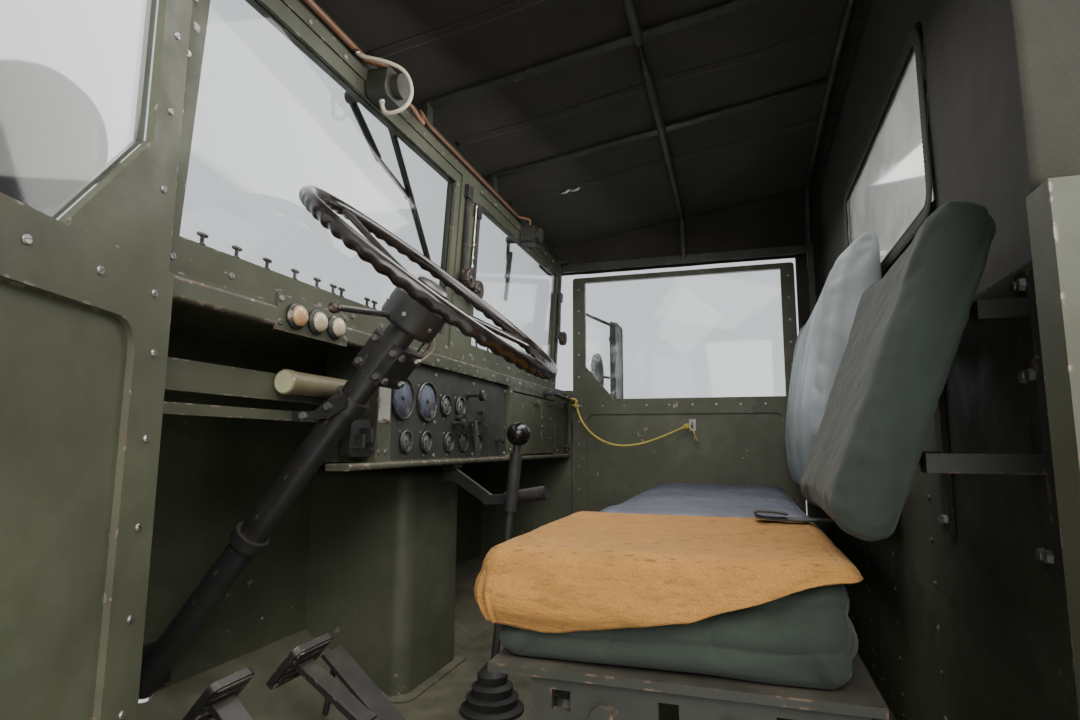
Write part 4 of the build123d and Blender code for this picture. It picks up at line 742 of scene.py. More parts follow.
# %% [markdown]
# ## The hood
#
# The hood is one skin of canvas over the bows: a roof panel whose edges are turned down and
# sewn over the side and rear walls. Between the bows it hangs a little slack. A grid of
# points gives such a sheet best, because each point can be let down by how far it is from
# the nearest bow, and the weave can follow the grid.

# %% Hood roof
ROOF_X, WALL_X = 0.890, 0.962
HOOD_FRONT, HOOD_BACK = -0.612, 0.455
SKIRT_LOW, WALL_LOW = 1.386, 0.8815
CARRIED = (-0.575, -0.050, 0.400)      # the bows, along the cab
CROWN = 0.038
FLAT_X, FLAT_BACK = 0.865, 0.449      # the roof panel, before its edges turn down
CANVAS_THICK = 0.0018


def roof_edge(y):
    return 1.512 + 0.15 * (y + 0.458)


def slack(y):
    """0 on a bow, 1 half-way to the next one."""
    for a, b in zip(CARRIED, CARRIED[1:]):
        if a < y < b:
            return sin(pi * (y - a) / (b - a)) ** 2
    return 0.0


def roof_point(x, y):
    """The canvas above the bows: crowned across, slack between them, softly creased."""
    share = min(1, abs(x) / ROOF_X)
    z = roof_edge(y) + CROWN * (1 - share * share) - 0.0115
    z -= 0.0055 * slack(y) * (1 - share ** 6)
    crease = soft_noise((x * 0.6, y, 0), 0.16, 3) * 0.0022 + soft_noise((x, y * 0.5, 0), 0.05, 8) * 0.0008
    return Vector((x, y, z + crease * (0.35 + 0.65 * slack(y))))


TURN = (0.004, 0.012, 0.026)      # how far the back edge is turned down
FRONT_LOW = 1.404
FLARE = ((0.012, 0.0), (0.024, -0.003), (0.027, -0.012), (0.0285, -0.028))      # the side edges
ACROSS = spread(-FLAT_X, FLAT_X, 150)
rows = []
for y, drop in ((-0.574, 0.101), (-0.585, 0.082), (-0.600, 0.050), (-0.610, 0.022), (-0.612, 0.006)):
    row = []
    for x in ACROSS:
        top = roof_point(x, -0.600)
        low = FRONT_LOW - 0.0015 * sin(x * 70)
        share = drop / 0.101
        row.append(Vector((x, y + 0.002 * soft_noise((x, drop, 0), 0.05, 1), top.z + (low - top.z) * share)))
    rows.append(row)
rows += [[roof_point(x, y) for x in ACROSS] for y in spread(-0.605, FLAT_BACK, 110)]
for k, down in enumerate(TURN):
    rows.append([Vector((x, 0.4525 + 0.0015 * min(k, 1), roof_point(x, FLAT_BACK).z - down)) for x in ACROSS])
whole = []
for row in rows:
    edge_y = row[0].y
    lean = (WALL_X - ROOF_X) / (roof_edge(edge_y) - SKIRT_LOW)
    turned_down = [(FLAT_X + a - (c * lean if c < -0.01 else 0), c) for a, c in FLARE]
    right = [Vector((-x, edge_y, row[0].z + c)) for x, c in reversed(turned_down)]
    whole.append(right + row + [Vector((x, edge_y, row[-1].z + c)) for x, c in turned_down])
hood_roof = sheet_from_grid("hood_roof", whole, hood_canvas)
thicken(hood_roof, CANVAS_THICK)
fit(hood_roof, "canvas", "soft_top")

# %% [markdown]
# The walls are the second sheet: down each side to the rail, round the rear corners and
# across the back, where they reach down to the steel wall. Its columns run along the wall in
# plan, its rows from the roof's edge down, so one function of both gives every point.

# %% Hood walls
BEND = 0.045
WINDOW_HALF, WINDOW_LOW, WINDOW_HIGH = 0.380, 1.080, 1.380
plan = [("front", x) for x in (0.80, 0.86, 0.92)] + [("side", y) for y in spread(-0.604, 0.354, 60)]
plan += [("side", y) for y in spread(0.362, 0.455 - BEND, 7)] + [("bend", a) for a in spread(15, 75, 5)]
plan += [("back", s) for s in spread(1.0, 0.0, 60)]


def wall_point(kind, value, t, below):
    """t runs from the roof's edge (0) to the rail (1); below is metres under the rail."""
    y = value if kind == "side" else (HOOD_FRONT + 0.003 if kind == "front" else HOOD_BACK - 0.0045)
    if kind == "bend":
        y = HOOD_BACK - 0.0045 - BEND + BEND * sin(radians(value))
    top = roof_edge(y) - 0.0135
    if kind == "back":
        x_top = value * (ROOF_X - BEND)
        top = roof_point(x_top, FLAT_BACK).z - 0.003
    z = top + (SKIRT_LOW - top) * t - below
    half = ROOF_X + (WALL_X - ROOF_X) * min(1, t) - 0.0035
    if kind == "side":
        x = half
    elif kind == "bend":
        x = half - BEND + BEND * cos(radians(value))
    elif kind == "front":
        x = min(value, half - 0.004)
    else:
        x = value * (half - BEND)
    calm = 0.25 if t < 1 and kind == "side" else 1
    fold = 0.004 * soft_noise((x, y, z * 0.35), 0.09, 5) * min(1, 3 * t) * calm
    fold += 0.0015 * soft_noise((x, y, z), 0.03, 2)
    if kind in ("side", "bend"):
        x += fold - 0.002
    else:
        y -= abs(fold) * (1 if kind == "back" else -1)
    return Vector((x, y, z))


def wall_rows(columns, levels, sign):
    return [[Vector((sign * p.x, p.y, p.z)) for p in (wall_point(k, v, t, b) for k, v in columns)]
            for t, b in levels]


def cut_window(piece):
    """Opens the rear wall's window in the mesh: faces whose middle lies inside it go."""
    bm = bmesh.new()
    bm.from_mesh(piece.data)
    gone = []
    for face in bm.faces:
        middle = face.calc_center_median()
        if middle.y > 0.43 and abs(middle.x) < WINDOW_HALF and WINDOW_LOW < middle.z < WINDOW_HIGH:
            gone.append(face)
    bmesh.ops.delete(bm, geom=gone, context="FACES")
    bm.to_mesh(piece.data)
    bm.free()


upper = [(t, 0.0) for t in spread(0.0, 1.0, 26)]
lower = [(1.0, b) for b in spread(0.0, SKIRT_LOW - WALL_LOW, 46)]
rear_columns = [c for c in plan if c[0] != "front" and (c[0] != "side" or c[1] >= 0.354)]
pieces = []
for sign in (1, -1):
    for columns, levels in ((plan, upper), (rear_columns, lower)):
        pieces.append(sheet_from_grid("wall", wall_rows(columns, levels, sign), hood_canvas))
hood_walls = join_pieces("hood_walls", pieces)
tidy(hood_walls, 0.0004)
cut_window(hood_walls)
thicken(hood_walls, CANVAS_THICK)
fit(hood_walls, "canvas", "soft_top")

# %% [markdown]
# ## Stuffed cushions
#
# A cushion is foam in a sewn bag: its sides bulge, its corners stay pulled in, and it is
# flat only where it rests. Cloth simulation gives that. A closed shape, a little smaller
# than the finished cushion, is remeshed evenly, blown up by a small pressure with its
# underside pinned, and kept within a few millimetres of where it started.

# %% Stuffing
PRESSURE, STIFFNESS, BENDING, FRAMES = 4.0, 18, 0.6, 20


def clamped(point, keep):
    """A point kept inside a box, where there is one."""
    return Vector([min(max(c, a), b) for c, a, b in zip(point, *keep)]) if keep else point


def stuff(piece, cap, voxel, pinned, keep=None):
    """Blows a closed mesh up a little as cloth; pinned(point) says what stays put."""
    grid = piece.modifiers.new("even", "REMESH")
    grid.mode, grid.voxel_size = "VOXEL", voxel
    bake_modifiers(piece)
    for face in piece.data.polygons:
        face.use_smooth = True
    start = [v.co.copy() for v in piece.data.vertices]
    group = piece.vertex_groups.new(name="held")
    group.add([i for i, p in enumerate(start) if pinned(p)], 1.0, "REPLACE")
    cloth_sim = piece.modifiers.new("stuffing", "CLOTH")
    held = cloth_sim.settings
    held.vertex_group_mass = "held"
    held.use_pressure = True
    held.uniform_pressure_force = PRESSURE
    held.effector_weights.gravity = 0.0
    held.tension_stiffness = held.compression_stiffness = STIFFNESS
    held.bending_stiffness = BENDING
    cloth_sim.point_cache.frame_start, cloth_sim.point_cache.frame_end = 1, FRAMES
    for step in range(1, FRAMES + 1):
        bpy.context.scene.frame_set(step)
    graph = bpy.context.evaluated_depsgraph_get()
    result = bpy.data.meshes.new_from_object(piece.evaluated_get(graph))
    moved = [v.co.copy() for v in result.vertices]
    bpy.data.meshes.remove(result)
    piece.modifiers.clear()
    piece.vertex_groups.clear()
    for vertex, old, new in zip(piece.data.vertices, start, moved):
        step = new - old
        if step.length > cap:
            step = step.normalized() * cap
        vertex.co = clamped(old + step, keep)
    piece.data.update()
    finer = piece.modifiers.new("finer", "SUBSURF")
    finer.levels = finer.render_levels = 1
    bake_modifiers(piece)


def rounded_slab(name, low, high, pull, bend, cuts=14):
    """A closed block with rounded edges whose sides pull in between the corners."""
    low, high = Vector(low), Vector(high)
    middle, half = (low + high) / 2, (high - low) / 2
    bm = bmesh.new()
    bmesh.ops.create_cube(bm, size=2.0)
    bmesh.ops.subdivide_edges(bm, edges=bm.edges, cuts=cuts, use_grid_fill=True)
    for v in bm.verts:
        p = Vector([v.co[k] * half[k] for k in range(3)])
        core = Vector([max(-half[k] + bend, min(half[k] - bend, p[k])) for k in range(3)])
        out = p - core
        if out.length > 1e-9:
            p = core + out.normalized() * min(bend, out.length) if out.length > bend else p
        for k in (0, 1):
            other = 1 - k
            if abs(p[k]) > half[k] - bend * 1.2:
                share = 1 - (p[other] / half[other]) ** 2
                p[k] -= pull * share * (1 if p[k] > 0 else -1)
        v.co = middle + p
    mesh = bpy.data.meshes.new(name)
    bm.to_mesh(mesh)
    bm.free()
    return as_object(name, mesh)


def roughen(piece, layers, keep=None):
    """Moves each point along its normal by the sum of some noises, for folds and dents."""
    piece.data.update()
    normals = [v.normal.copy() for v in piece.data.vertices]
    for vertex, normal in zip(piece.data.vertices, normals):
        point = vertex.co
        lift = 0.0
        for amount, size, stretch, seed in layers:
            stretched = [c * s for c, s in zip(point, stretch)]
            lift += amount * soft_noise(stretched, size, seed)
        vertex.co = clamped(point + normal * lift, keep)
    piece.data.update()


def settle(piece, node, slot):
    """Puts a stuffed piece on the cab and hides the solid it stands for."""
    fit(piece, slot, node)


# %% [markdown]
# ## The driver's seat cushion
#
# The seat cushion has a loose bag of dark green cloth. Under the fleece only its lower part
# shows, where the cloth sags into long flat folds above the steel frame.

# %% Driver's cushion
low, high = corners_of("driver_cushion")
middle = (low + high) / 2
driver_cushion = rounded_slab("driver_cushion_cloth", low + Vector((0.006, 0.006, 0.0)),
                              high - Vector((0.006, 0.006, 0.004)), 0.004, 0.026)
keep = (low - Vector((0.004, 0.004, 0)), high + Vector((0.004, 0.004, 0)))
stuff(driver_cushion, 0.010, 0.006, lambda p: p.z < low.z + 0.004, keep=keep)
for vertex in driver_cushion.data.vertices:
    p = vertex.co
    down = (high.z - p.z) / (high.z - low.z)
    side = max(abs(p.x - middle.x) - 0.17, abs(p.y - middle.y) - 0.17) / 0.05
    if side > 0 and 0.12 < down:
        run = p.y if abs(p.x - middle.x) > 0.19 else p.x
        phase = pi * (down * 2.9 + 0.6 * soft_noise((run * 0.6, down * 0.1, 0), 0.15, 6) + run * 0.9)
        push = 0.0150 * (abs(sin(phase)) ** 0.5 - 0.80) * min(1, side) * min(1, (down - 0.12) * 5)
        vertex.co = p + Vector((p.x - middle.x, p.y - middle.y, 0)).normalized() * push
roughen(driver_cushion, [(0.0035, 0.11, (0.4, 0.4, 2.6), 4), (0.0016, 0.04, (0.6, 0.6, 2.2), 9)], keep)
coat(driver_cushion.data, green_cloth)
settle(driver_cushion, "driver_cushion", "cushion_cloth")

# %% [markdown]
# ## The fleece cover
#
# A yellow-tan fleece is thrown over the cushion. It is one sheet: flat on top, bent over the
# edges, gathered at the corners, with an uneven hem that rises towards the back. Each point of
# the flat cloth is carried to the cushion: by how far it lies beyond the top's rim it goes
# first round the bend, then straight down.

# %% Fleece cover
low, high = corners_of("seat_cover")
TOP_Z = high.z - 0.001
FLEECE_BEND, PILE, INSET = 0.030, 0.005, 0.0035
STEPS_ON, STEPS_DOWN = 100, 34
HEM_SIDE = [(-0.185, 0.486), (-0.136, 0.478), (-0.088, 0.473), (-0.019, 0.484), (0.078, 0.503),
            (0.148, 0.527), (0.197, 0.545), (0.270, 0.560)]


def along_table(table, at):
    """Straight-line reading of a list of (place, value) pairs."""
    for (a, u), (b, w) in zip(table, table[1:]):
        if at <= b:
            return u + (w - u) * max(0.0, (at - a) / (b - a))
    return table[-1][1]


def hem_height(direction, x, y):
    """Height of the hem seen from the middle of the seat in that direction."""
    side = along_table(HEM_SIDE, y)
    front = 0.487 + 0.006 * sin(x * 14) + 0.004 * soft_noise((x, 0, 0), 0.06, 2)
    back = 0.552
    wx, wy = direction.x ** 2, direction.y ** 2
    hem = wx * side + wy * (front if direction.y < 0 else back)
    return hem + 0.0025 * soft_noise((x, y, 0), 0.035, 9)


x0, x1 = low.x + INSET + FLEECE_BEND, high.x - INSET - FLEECE_BEND
y0, y1 = low.y + INSET + FLEECE_BEND, high.y - INSET - FLEECE_BEND
QUARTER = FLEECE_BEND * pi / 2
rows = []
stations = [(0, -k / STEPS_DOWN) for k in range(STEPS_DOWN, 0, -1)]      # (share of the top, share beyond it)
stations += [(k / STEPS_ON, 0) for k in range(STEPS_ON + 1)]
stations += [(1, k / STEPS_DOWN) for k in range(1, STEPS_DOWN + 1)]
for v, v_out in stations:
    row = []
    for u, u_out in stations:
        core = Vector((x0 + (x1 - x0) * u, y0 + (y1 - y0) * v, 0))
        beyond = Vector((u_out, v_out, 0))
        reach = max(abs(beyond.x), abs(beyond.y))
        direction, length = Vector((0, 0, 0)), 0.0
        if reach > 0:
            direction = beyond.normalized()
            drop = TOP_Z - hem_height(direction, core.x, core.y) - FLEECE_BEND
            length = reach * (QUARTER + drop)
        hang = max(0.0, length - QUARTER)
        angle = min(length, QUARTER) / FLEECE_BEND
        p = core + direction * FLEECE_BEND * sin(angle)
        p.z = TOP_Z - FLEECE_BEND * (1 - cos(angle)) - hang
        if reach == 0:
            crown = 1 - ((core.x - (x0 + x1) / 2) / (x1 - x0) * 1.6) ** 2
            p.z -= 0.006 * crown * (1 - ((core.y - (y0 + y1) / 2) / (y1 - y0) * 1.5) ** 2)
        p += direction * (0.007 * sin(pi * min(1, hang / 0.06)) - 0.012 * max(0, hang - 0.025) / 0.05)
        corner = abs(direction.x * direction.y) * 2
        if hang > 0 and corner > 0.05:
            spin = atan2(direction.y, direction.x)
            p += direction * 0.003 * corner * sin(spin * 14) * min(1, hang / 0.03)
        ruffle = soft_noise((p.x * 2.2, p.y * 0.55, p.z), 0.028, 4) * 0.0018
        ruffle += abs(soft_noise((p.x * 1.6, p.y * 0.5, p.z), 0.05, 7)) * -0.0030
        ruffle += soft_noise(p, 0.006, 5) * 0.0006
        ruffle += soft_noise((p.x * 0.4, p.y * 0.35, p.z * 1.5), 0.045, 11) * 0.0045
        if reach == 0:
            p.z += ruffle + 0.001
        else:
            p += direction * ruffle
        row.append(p)
    rows.append(row)
seat_cover = sheet_from_grid("seat_fleece_cover", rows, seat_fleece)
thicken(seat_cover, PILE, -1.0)
long = (y1 - y0) + 2 * (QUARTER + 0.055)
fit(seat_cover, "fleece", "seat_cover")

# %% [markdown]
# ## The other cushions
#
# The driver's back is a short pad that leans back, the passengers' bench a wide flat cushion
# with a sewn welt round its upper and lower rims, and its back is a tall pale pad, hollowed
# where people lean and rolled over at the top.

# %% Driver's back
BACK_FOOT, BACK_LEAN, BACK_THICK, BACK_LONG = Vector((0, 0.212, 0.592)), radians(20), 0.070, 0.400
low, high = corners_of("driver_backrest")
driver_back = rounded_slab("driver_back_cloth", (low.x + 0.006, 0.005, 0.006),
                           (high.x - 0.006, BACK_THICK - 0.004, BACK_LONG - 0.006), 0.004, 0.024)
lean = Matrix.Translation(BACK_FOOT) @ Matrix.Rotation(-BACK_LEAN, 4, "X")
stuff(driver_back, 0.008, 0.006, lambda p: p.y > BACK_THICK - 0.008)
roughen(driver_back, [(0.0030, 0.11, (1, 1, 1.6), 2), (0.0012, 0.035, (1, 1, 2), 5)])
driver_back.data.transform(lean)
coat(driver_back.data, green_cloth)
settle(driver_back, "driver_backrest", "cushion_cloth")

# %% Bench cushion
low, high = corners_of("companion_cushion")
bench = rounded_slab("bench_cushion_vinyl", low + Vector((0.006, 0.006, 0)),
                     high - Vector((0.006, 0.006, 0.006)), 0.005, 0.020, 22)
keep = (low - Vector((0.003, 0.003, 0)), high + Vector((0.003, 0.003, 0.003)))
stuff(bench, 0.008, 0.008, lambda p: p.z < low.z + 0.004, keep=keep)
roughen(bench, [(0.0022, 0.16, (1, 1, 1), 3), (0.0008, 0.05, (1, 2, 1), 9)], keep)
coat(bench.data, bench_vinyl)
welts = []
for z in (high.z - 0.012, low.z + 0.012):
    path = []
    for point in rounded_loop(low, high, 0.022, 5, lambda x, y: Vector((x, y, z))):
        _, place, normal, _ = bench.closest_point_on_mesh(point)
        path.append(place + normal * 0.0008)
    welts.append(tube("welt", path, 0.0032, bench_vinyl, 8, closed=True))
bench = join_pieces("bench_cushion_vinyl", [bench] + welts)
settle(bench, "companion_cushion", "vinyl")

# %% Bench back
low, high = corners_of("companion_backrest")
FRONT_LINE = [(0.556, 0.299), (0.630, 0.290), (0.708, 0.284), (0.780, 0.290), (0.852, 0.301), (0.940, 0.315),
              (1.025, 0.333), (1.090, 0.354), (1.120, 0.368), (1.138, 0.388)]
REAR_LINE = [(0.408, 1.141), (0.422, 1.132), (0.4255, 1.110), (0.4255, 0.900), (0.4255, 0.700),
             (0.4250, 0.620), (0.394, 0.558), (0.345, 0.5555)]
MIDDLE_Y, MIDDLE_Z = 0.360, 0.85
profile = in_steps([Vector(spot) for spot in [(y + 0.004, z) for z, y in FRONT_LINE] + REAR_LINE])
left, right = high.x - 0.004, low.x + 0.004
rows = []
for x in spread(right, left, 90):
    near = min(x - right, left - x)
    pinch = 0.010 * max(0, 1 - near / 0.03) ** 2
    rows.append([Vector((x, y + (MIDDLE_Y - y) * pinch * 6, z + (MIDDLE_Z - z) * pinch * 0.6))
                 for y, z in profile])
bench_back = close_ends(sheet_from_grid("bench_back_vinyl", rows, pale_vinyl, closed=True), len(profile))
keep = (Vector((low.x, 0.278, low.z)), Vector((high.x, 0.4296, high.z + 0.003)))
stuff(bench_back, 0.012, 0.009, lambda p: p.y > 0.418, keep=keep)
roughen(bench_back, [(0.0035, 0.20, (1, 1, 1), 5), (0.0012, 0.05, (1.5, 1, 0.6), 8)], keep)
coat(bench_back.data, pale_vinyl)
settle(bench_back, "companion_backrest", "vinyl")

# %% [markdown]
# ## The lap belt
#
# A length of webbing lies folded over the rear corner of the seat. Webbing is too thin for a
# simulation, so it is a strip swept along its own fold, ribbed along its length by its finish.

# %% Lap belt
low, high = corners_of("lap_belt")
BELT_THICK, BELT_HALF = 0.0026, 0.022
FOLD = [(0.330, 0.560), (0.300, 0.566), (0.262, 0.5725), (0.225, 0.5715), (0.190, 0.5715), (0.165, 0.5718),
        (0.1545, 0.574), (0.1515, 0.5785), (0.1560, 0.5830), (0.168, 0.5838), (0.185, 0.5822),
        (0.200, 0.5800)]
smooth_line = smooth_route([(0, y, z + 0.0005) for y, z in FOLD], 8)
rows = []
for i, p in enumerate(smooth_line):
    middle = (low.x + high.x) / 2 + 0.006 * sin(i * 0.09)
    tilt = abs(0.06 * sin(i * 0.13)) * 0.4
    rows.append([Vector((middle + s, p.y + 0.02 * s, p.z + tilt * (s + BELT_HALF)))
                 for s in spread(-BELT_HALF, BELT_HALF, 9)])
lap_belt = sheet_from_grid("lap_belt_webbing", rows, webbing)
belt_long = line_length(smooth_line)
thicken(lap_belt, BELT_THICK)
fit(lap_belt, "webbing", "lap_belt")
print("belt", round(belt_long, 3), "m long")

# %% [markdown]
# ## The rope
#
# A thin yellow rope runs from the grab handle to a hook on the right door and keeps the door
# from swinging too far. It is about half a metre long, limp, 8 mm thick, and hangs in a
# shallow sag between its knots. Its route is one smooth spline; the three strands are lobes
# of the tube's section that turn as it runs along.

# %% Rope route
ROPE_THICK = 0.008
ROPE_ROUTE = [(-0.8785, -0.4688, 0.8306), (-0.871, -0.458, 0.794), (-0.864, -0.424, 0.744),
              (-0.858, -0.372, 0.704), (-0.852, -0.308, 0.684), (-0.860, -0.238, 0.688),
              (-0.880, -0.170, 0.708), (-0.900, -0.106, 0.736), (-0.914, -0.064, 0.756)]


def even(path, step):
    """The same line with evenly spaced points."""
    lengths = [0.0]
    for a, b in zip(path, path[1:]):
        lengths.append(lengths[-1] + (b - a).length)
    count = max(2, round(lengths[-1] / step))
    out, k = [], 0
    for i in range(count + 1):
        at = lengths[-1] * i / count
        while k < len(path) - 2 and lengths[k + 1] < at:
            k += 1
        span = lengths[k + 1] - lengths[k]
        out.append(path[k].lerp(path[k + 1], (at - lengths[k]) / span if span else 0))
    return out, lengths[-1]


# %% Rope fibre
def rope_fibre():
    """Yellow plastic rope, greyed: fibres run along the twisted strands, with dirt between."""
    f = Finish("rope_yellow", 0.6)
    fibres = f.noise(900, 2, stretch=(1, 0.08, 1), at=f.along())
    base = f.mix(f.between(f.noise(40, 3), 0.35, 0.7), (0.50, 0.38, 0.06), (0.34, 0.26, 0.07))
    base = f.mix(f.between(fibres, 0.45, 0.75, 0, 0.6), base, (0.62, 0.52, 0.16))
    f.set("Base Color", base)
    f.relief(fibres, 0.4, 0.0004)
    return f.material


rope_yellow = rope_fibre()


def laid_rope(name, path, thick, turn=0.030, sides=24):
    """A rope of three strands: the section has three lobes that turn once every few diameters."""
    rows, travelled, before = [], 0.0, path[0]
    for p, normal, side in sections(path):
        travelled += (p - before).length
        before = p
        twist = 2 * pi * travelled / turn
        row = []
        for k, (c, s) in enumerate(ring(sides)):
            r = thick / 2 * (0.86 + 0.14 * abs(cos(1.5 * (2 * pi * k / sides - twist))))
            row.append(p + (normal * c + side * s) * r)
        rows.append(row)
    return close_ends(sheet_from_grid(name, rows, rope_yellow, closed=True), sides)


route, rope_length = even(smooth_route(ROPE_ROUTE), 0.0025)
rope = laid_rope("door_rope", route, ROPE_THICK)
print("rope", round(rope_length, 3), "m")

# %% Loop, knots and tails
LOOP_X, BAR_Y, BAR_R = -0.880, -0.484, 0.008


def wound(centre, radius, turns, pitch):
    """A coil round the x axis, 40 points to a turn."""
    out = []
    for k in range(int(40 * turns) + 1):
        a = 2 * pi * k / 40
        out.append(centre + Vector((pitch * (k / 40 - turns / 2), radius * cos(a), radius * sin(a))))
    return out


def knot_path(centre, size, seed):
    """A half knot: a closed trefoil line, squeezed and turned."""
    turn = Matrix.Rotation(0.6 + seed, 3, "Z") @ Matrix.Rotation(0.9 * seed, 3, "X")
    out = []
    for k in range(90):
        a = 2 * pi * k / 90
        p = Vector(((sin(a) + 2 * sin(2 * a)) / 3, (cos(a) - 2 * cos(2 * a)) / 3, -sin(3 * a) * 0.42))
        out.append(centre + turn @ p * size)
    return out + out[:1]


loop_high = corners_of("rope_loop")[1]
knot_middle = sum(corners_of("rope_knot"), Vector()) / 2
coil = wound(Vector((LOOP_X, BAR_Y, loop_high.z - 0.0165)), BAR_R + 0.0045, 2.4, 0.0075)
loop_knot = knot_path(Vector((-0.8800, -0.4710, 0.8380)), 0.0078, 0.3)
rope_loop = join_pieces("rope_loop_turns",
                        [laid_rope("turns", coil, 0.0072), laid_rope("knot", loop_knot, 0.0066)])
TAIL = ((0, 0, 0), (0.004, 0.012, -0.006), (0.010, 0.024, -0.016), (0.008, 0.030, -0.034))
tail = smooth_route([knot_middle + Vector(step) for step in TAIL], 10)
knot_parts = [laid_rope("knot", knot_path(knot_middle, 0.0088, 1.1), 0.0070), laid_rope("tail", tail, 0.0068)]
for a in (0.3, 1.9, 3.3, 4.8):
    STRAND = ((0, -0.002, 0), (0.004 * cos(a), 0.003 + 0.004 * sin(a), -0.010),
              (0.009 * cos(a), 0.004 + 0.009 * sin(a), -0.022))
    frayed = smooth_route([tail[-1] + Vector(step) for step in STRAND], 6)
    knot_parts.append(laid_rope("strand", frayed, 0.0022, 0.02, 8))
rope_knot = join_pieces("rope_hook_knot", knot_parts)

for piece, node in ((rope, "rope"), (rope_loop, "rope_loop"), (rope_knot, "rope_knot")):
    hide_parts(node)
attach(rope_loop, "cab")
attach(rope_knot, "door_swing_right")
tuple(route[0])
[tuple(p) for p in route]
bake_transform(rope, "cab", "door_swing_right", start=ROPE_ROUTE[2], end=ROPE_ROUTE[-1])

# %% [markdown]
# ## Small things that repeat
#
# A truck cab is held together by hundreds of small heads: dome rivets in sheet steel, hexagon
# bolts through brackets, slotted screws round the instruments. Modelling each one would be
# dull and slow. A Geometry Nodes tree puts one head on every point of a list, turned to face
# the way the surface faces, so only the places have to be written down. The heads have few
# faces, because there are so many of them.

# %% Head trees
def socket(tree, name, kind, way="INPUT", value=None):
    made = tree.interface.new_socket(name, in_out=way, socket_type=kind)
    if value is not None:
        made.default_value = value


def new_tree(name, shape, sizes, outcome):
    """A Geometry Nodes tree whose inputs are a shape, some sizes and a finish."""
    tree = bpy.data.node_groups.new(name, "GeometryNodeTree")
    socket(tree, shape, "NodeSocketGeometry")
    for label, value in sizes:
        socket(tree, label, "NodeSocketFloat", value=value)
    socket(tree, "Finish", "NodeSocketMaterial")
    socket(tree, outcome, "NodeSocketGeometry", "OUTPUT")
    return tree, tree.nodes.new("NodeGroupInput").outputs


def times(tree, a, b):
    return wire(tree, "ShaderNodeMath", {"operation": "MULTIPLY"}, {0: a, 1: b}).outputs[0]


def vector(tree, **parts):
    return wire(tree, "ShaderNodeCombineXYZ", None, parts).outputs[0]


def carried_value(tree, name, kind):
    """What each point says under that name."""
    return wire(tree, "GeometryNodeInputNamedAttribute", {"data_type": kind}, {"Name": name}).outputs[0]


def moved_up(tree, shape, height):
    lift = vector(tree, Z=height)
    return wire(tree, "GeometryNodeTransform", None, {"Geometry": shape, "Translation": lift}).outputs[0]


def turned_to(tree, axis, way, **more):
    pivot = {"axis": axis, **({"pivot_axis": "Z"} if more else {})}
    return wire(tree, "FunctionNodeAlignRotationToVector", pivot, {"Vector": way, **more}).outputs[0]


def finish_tree(tree, finish, points, shape, turn, **size):
    """Puts the shape on every point, makes the copies real and gives them their finish."""
    placed = wire(tree, "GeometryNodeInstanceOnPoints", None, {
        "Points": points, "Instance": shape, "Rotation": turn, **size}).outputs[0]
    real = wire(tree, "GeometryNodeRealizeInstances", None, {"Geometry": placed}).outputs[0]
    done = wire(tree, "GeometryNodeSetMaterial", None, {"Geometry": real, "Material": finish}).outputs[0]
    tree.links.new(done, tree.nodes.new("NodeGroupOutput").inputs[0])
    return tree


def head_tree(name, sides, steps, slotted):
    """A head on every point: its radius, its height and its finish are inputs."""
    tree, given = new_tree(name, "Points", (("Head radius", 0.005), ("Head height", 0.003)), "Heads")
    radius, height = given["Head radius"], given["Head height"]
    top = times(tree, radius, 0.62 if steps > 1 else 0.86)
    body = wire(tree, "GeometryNodeMeshCone", None, {
        "Vertices": sides, "Side Segments": 1, "Fill Segments": 1,
        "Radius Top": top, "Radius Bottom": radius, "Depth": height}).outputs["Mesh"]
    if steps > 1:
        upper = wire(tree, "GeometryNodeMeshCone", None, {
            "Vertices": sides, "Radius Top": times(tree, radius, 0.2), "Radius Bottom": top,
            "Depth": times(tree, height, 0.35)}).outputs["Mesh"]
        both = wire(tree, "GeometryNodeJoinGeometry")
        tree.links.new(moved_up(tree, upper, height), both.inputs[0])
        tree.links.new(body, both.inputs[0])
        body = both.outputs[0]
    if slotted:
        size = vector(tree, X=times(tree, radius, 2.4), Y=times(tree, radius, 0.26), Z=height)
        blade = wire(tree, "GeometryNodeMeshCube", None, {"Size": size}).outputs["Mesh"]
        body = wire(tree, "GeometryNodeMeshBoolean", {"operation": "DIFFERENCE"}, {
            0: body, 1: moved_up(tree, blade, height)}).outputs[0]
    turn = turned_to(tree, "Z", carried_value(tree, "facing", "FLOAT_VECTOR"))
    spin = wire(tree, "FunctionNodeRandomValue", {"data_type": "FLOAT_VECTOR"}, {
        0: (0, 0, 0), 1: (0.05, 0.05, 6.28), "Seed": 7}).outputs[0]
    turn = wire(tree, "FunctionNodeRotateRotation", {"rotation_space": "LOCAL"},
                {0: turn, 1: spin}).outputs[0]
    return finish_tree(tree, given["Finish"], given["Points"], body, turn,
                       Scale=carried_value(tree, "size", "FLOAT"))


DOME_RIVET = head_tree("dome_rivet", 10, 2, False)
HEX_BOLT = head_tree("hex_bolt", 6, 1, False)
SLOTTED_SCREW = head_tree("slotted_screw", 14, 1, True)
print("three head trees")

# %% Planting heads
def grown(piece, tree, inputs):
    """Runs a node tree on an object once, sets its inputs by their identifiers, and keeps the mesh."""
    modifier = piece.modifiers.new("grown", "NODES")
    modifier.node_group = tree
    for item in tree.interface.items_tree:
        if item.item_type == "SOCKET" and item.in_out == "INPUT" and item.name in inputs:
            modifier[item.identifier] = inputs[item.name]
    bake_modifiers(piece)
    for name in [a.name for a in piece.data.attributes if a.name in ("facing", "size")]:
        piece.data.attributes.remove(piece.data.attributes[name])


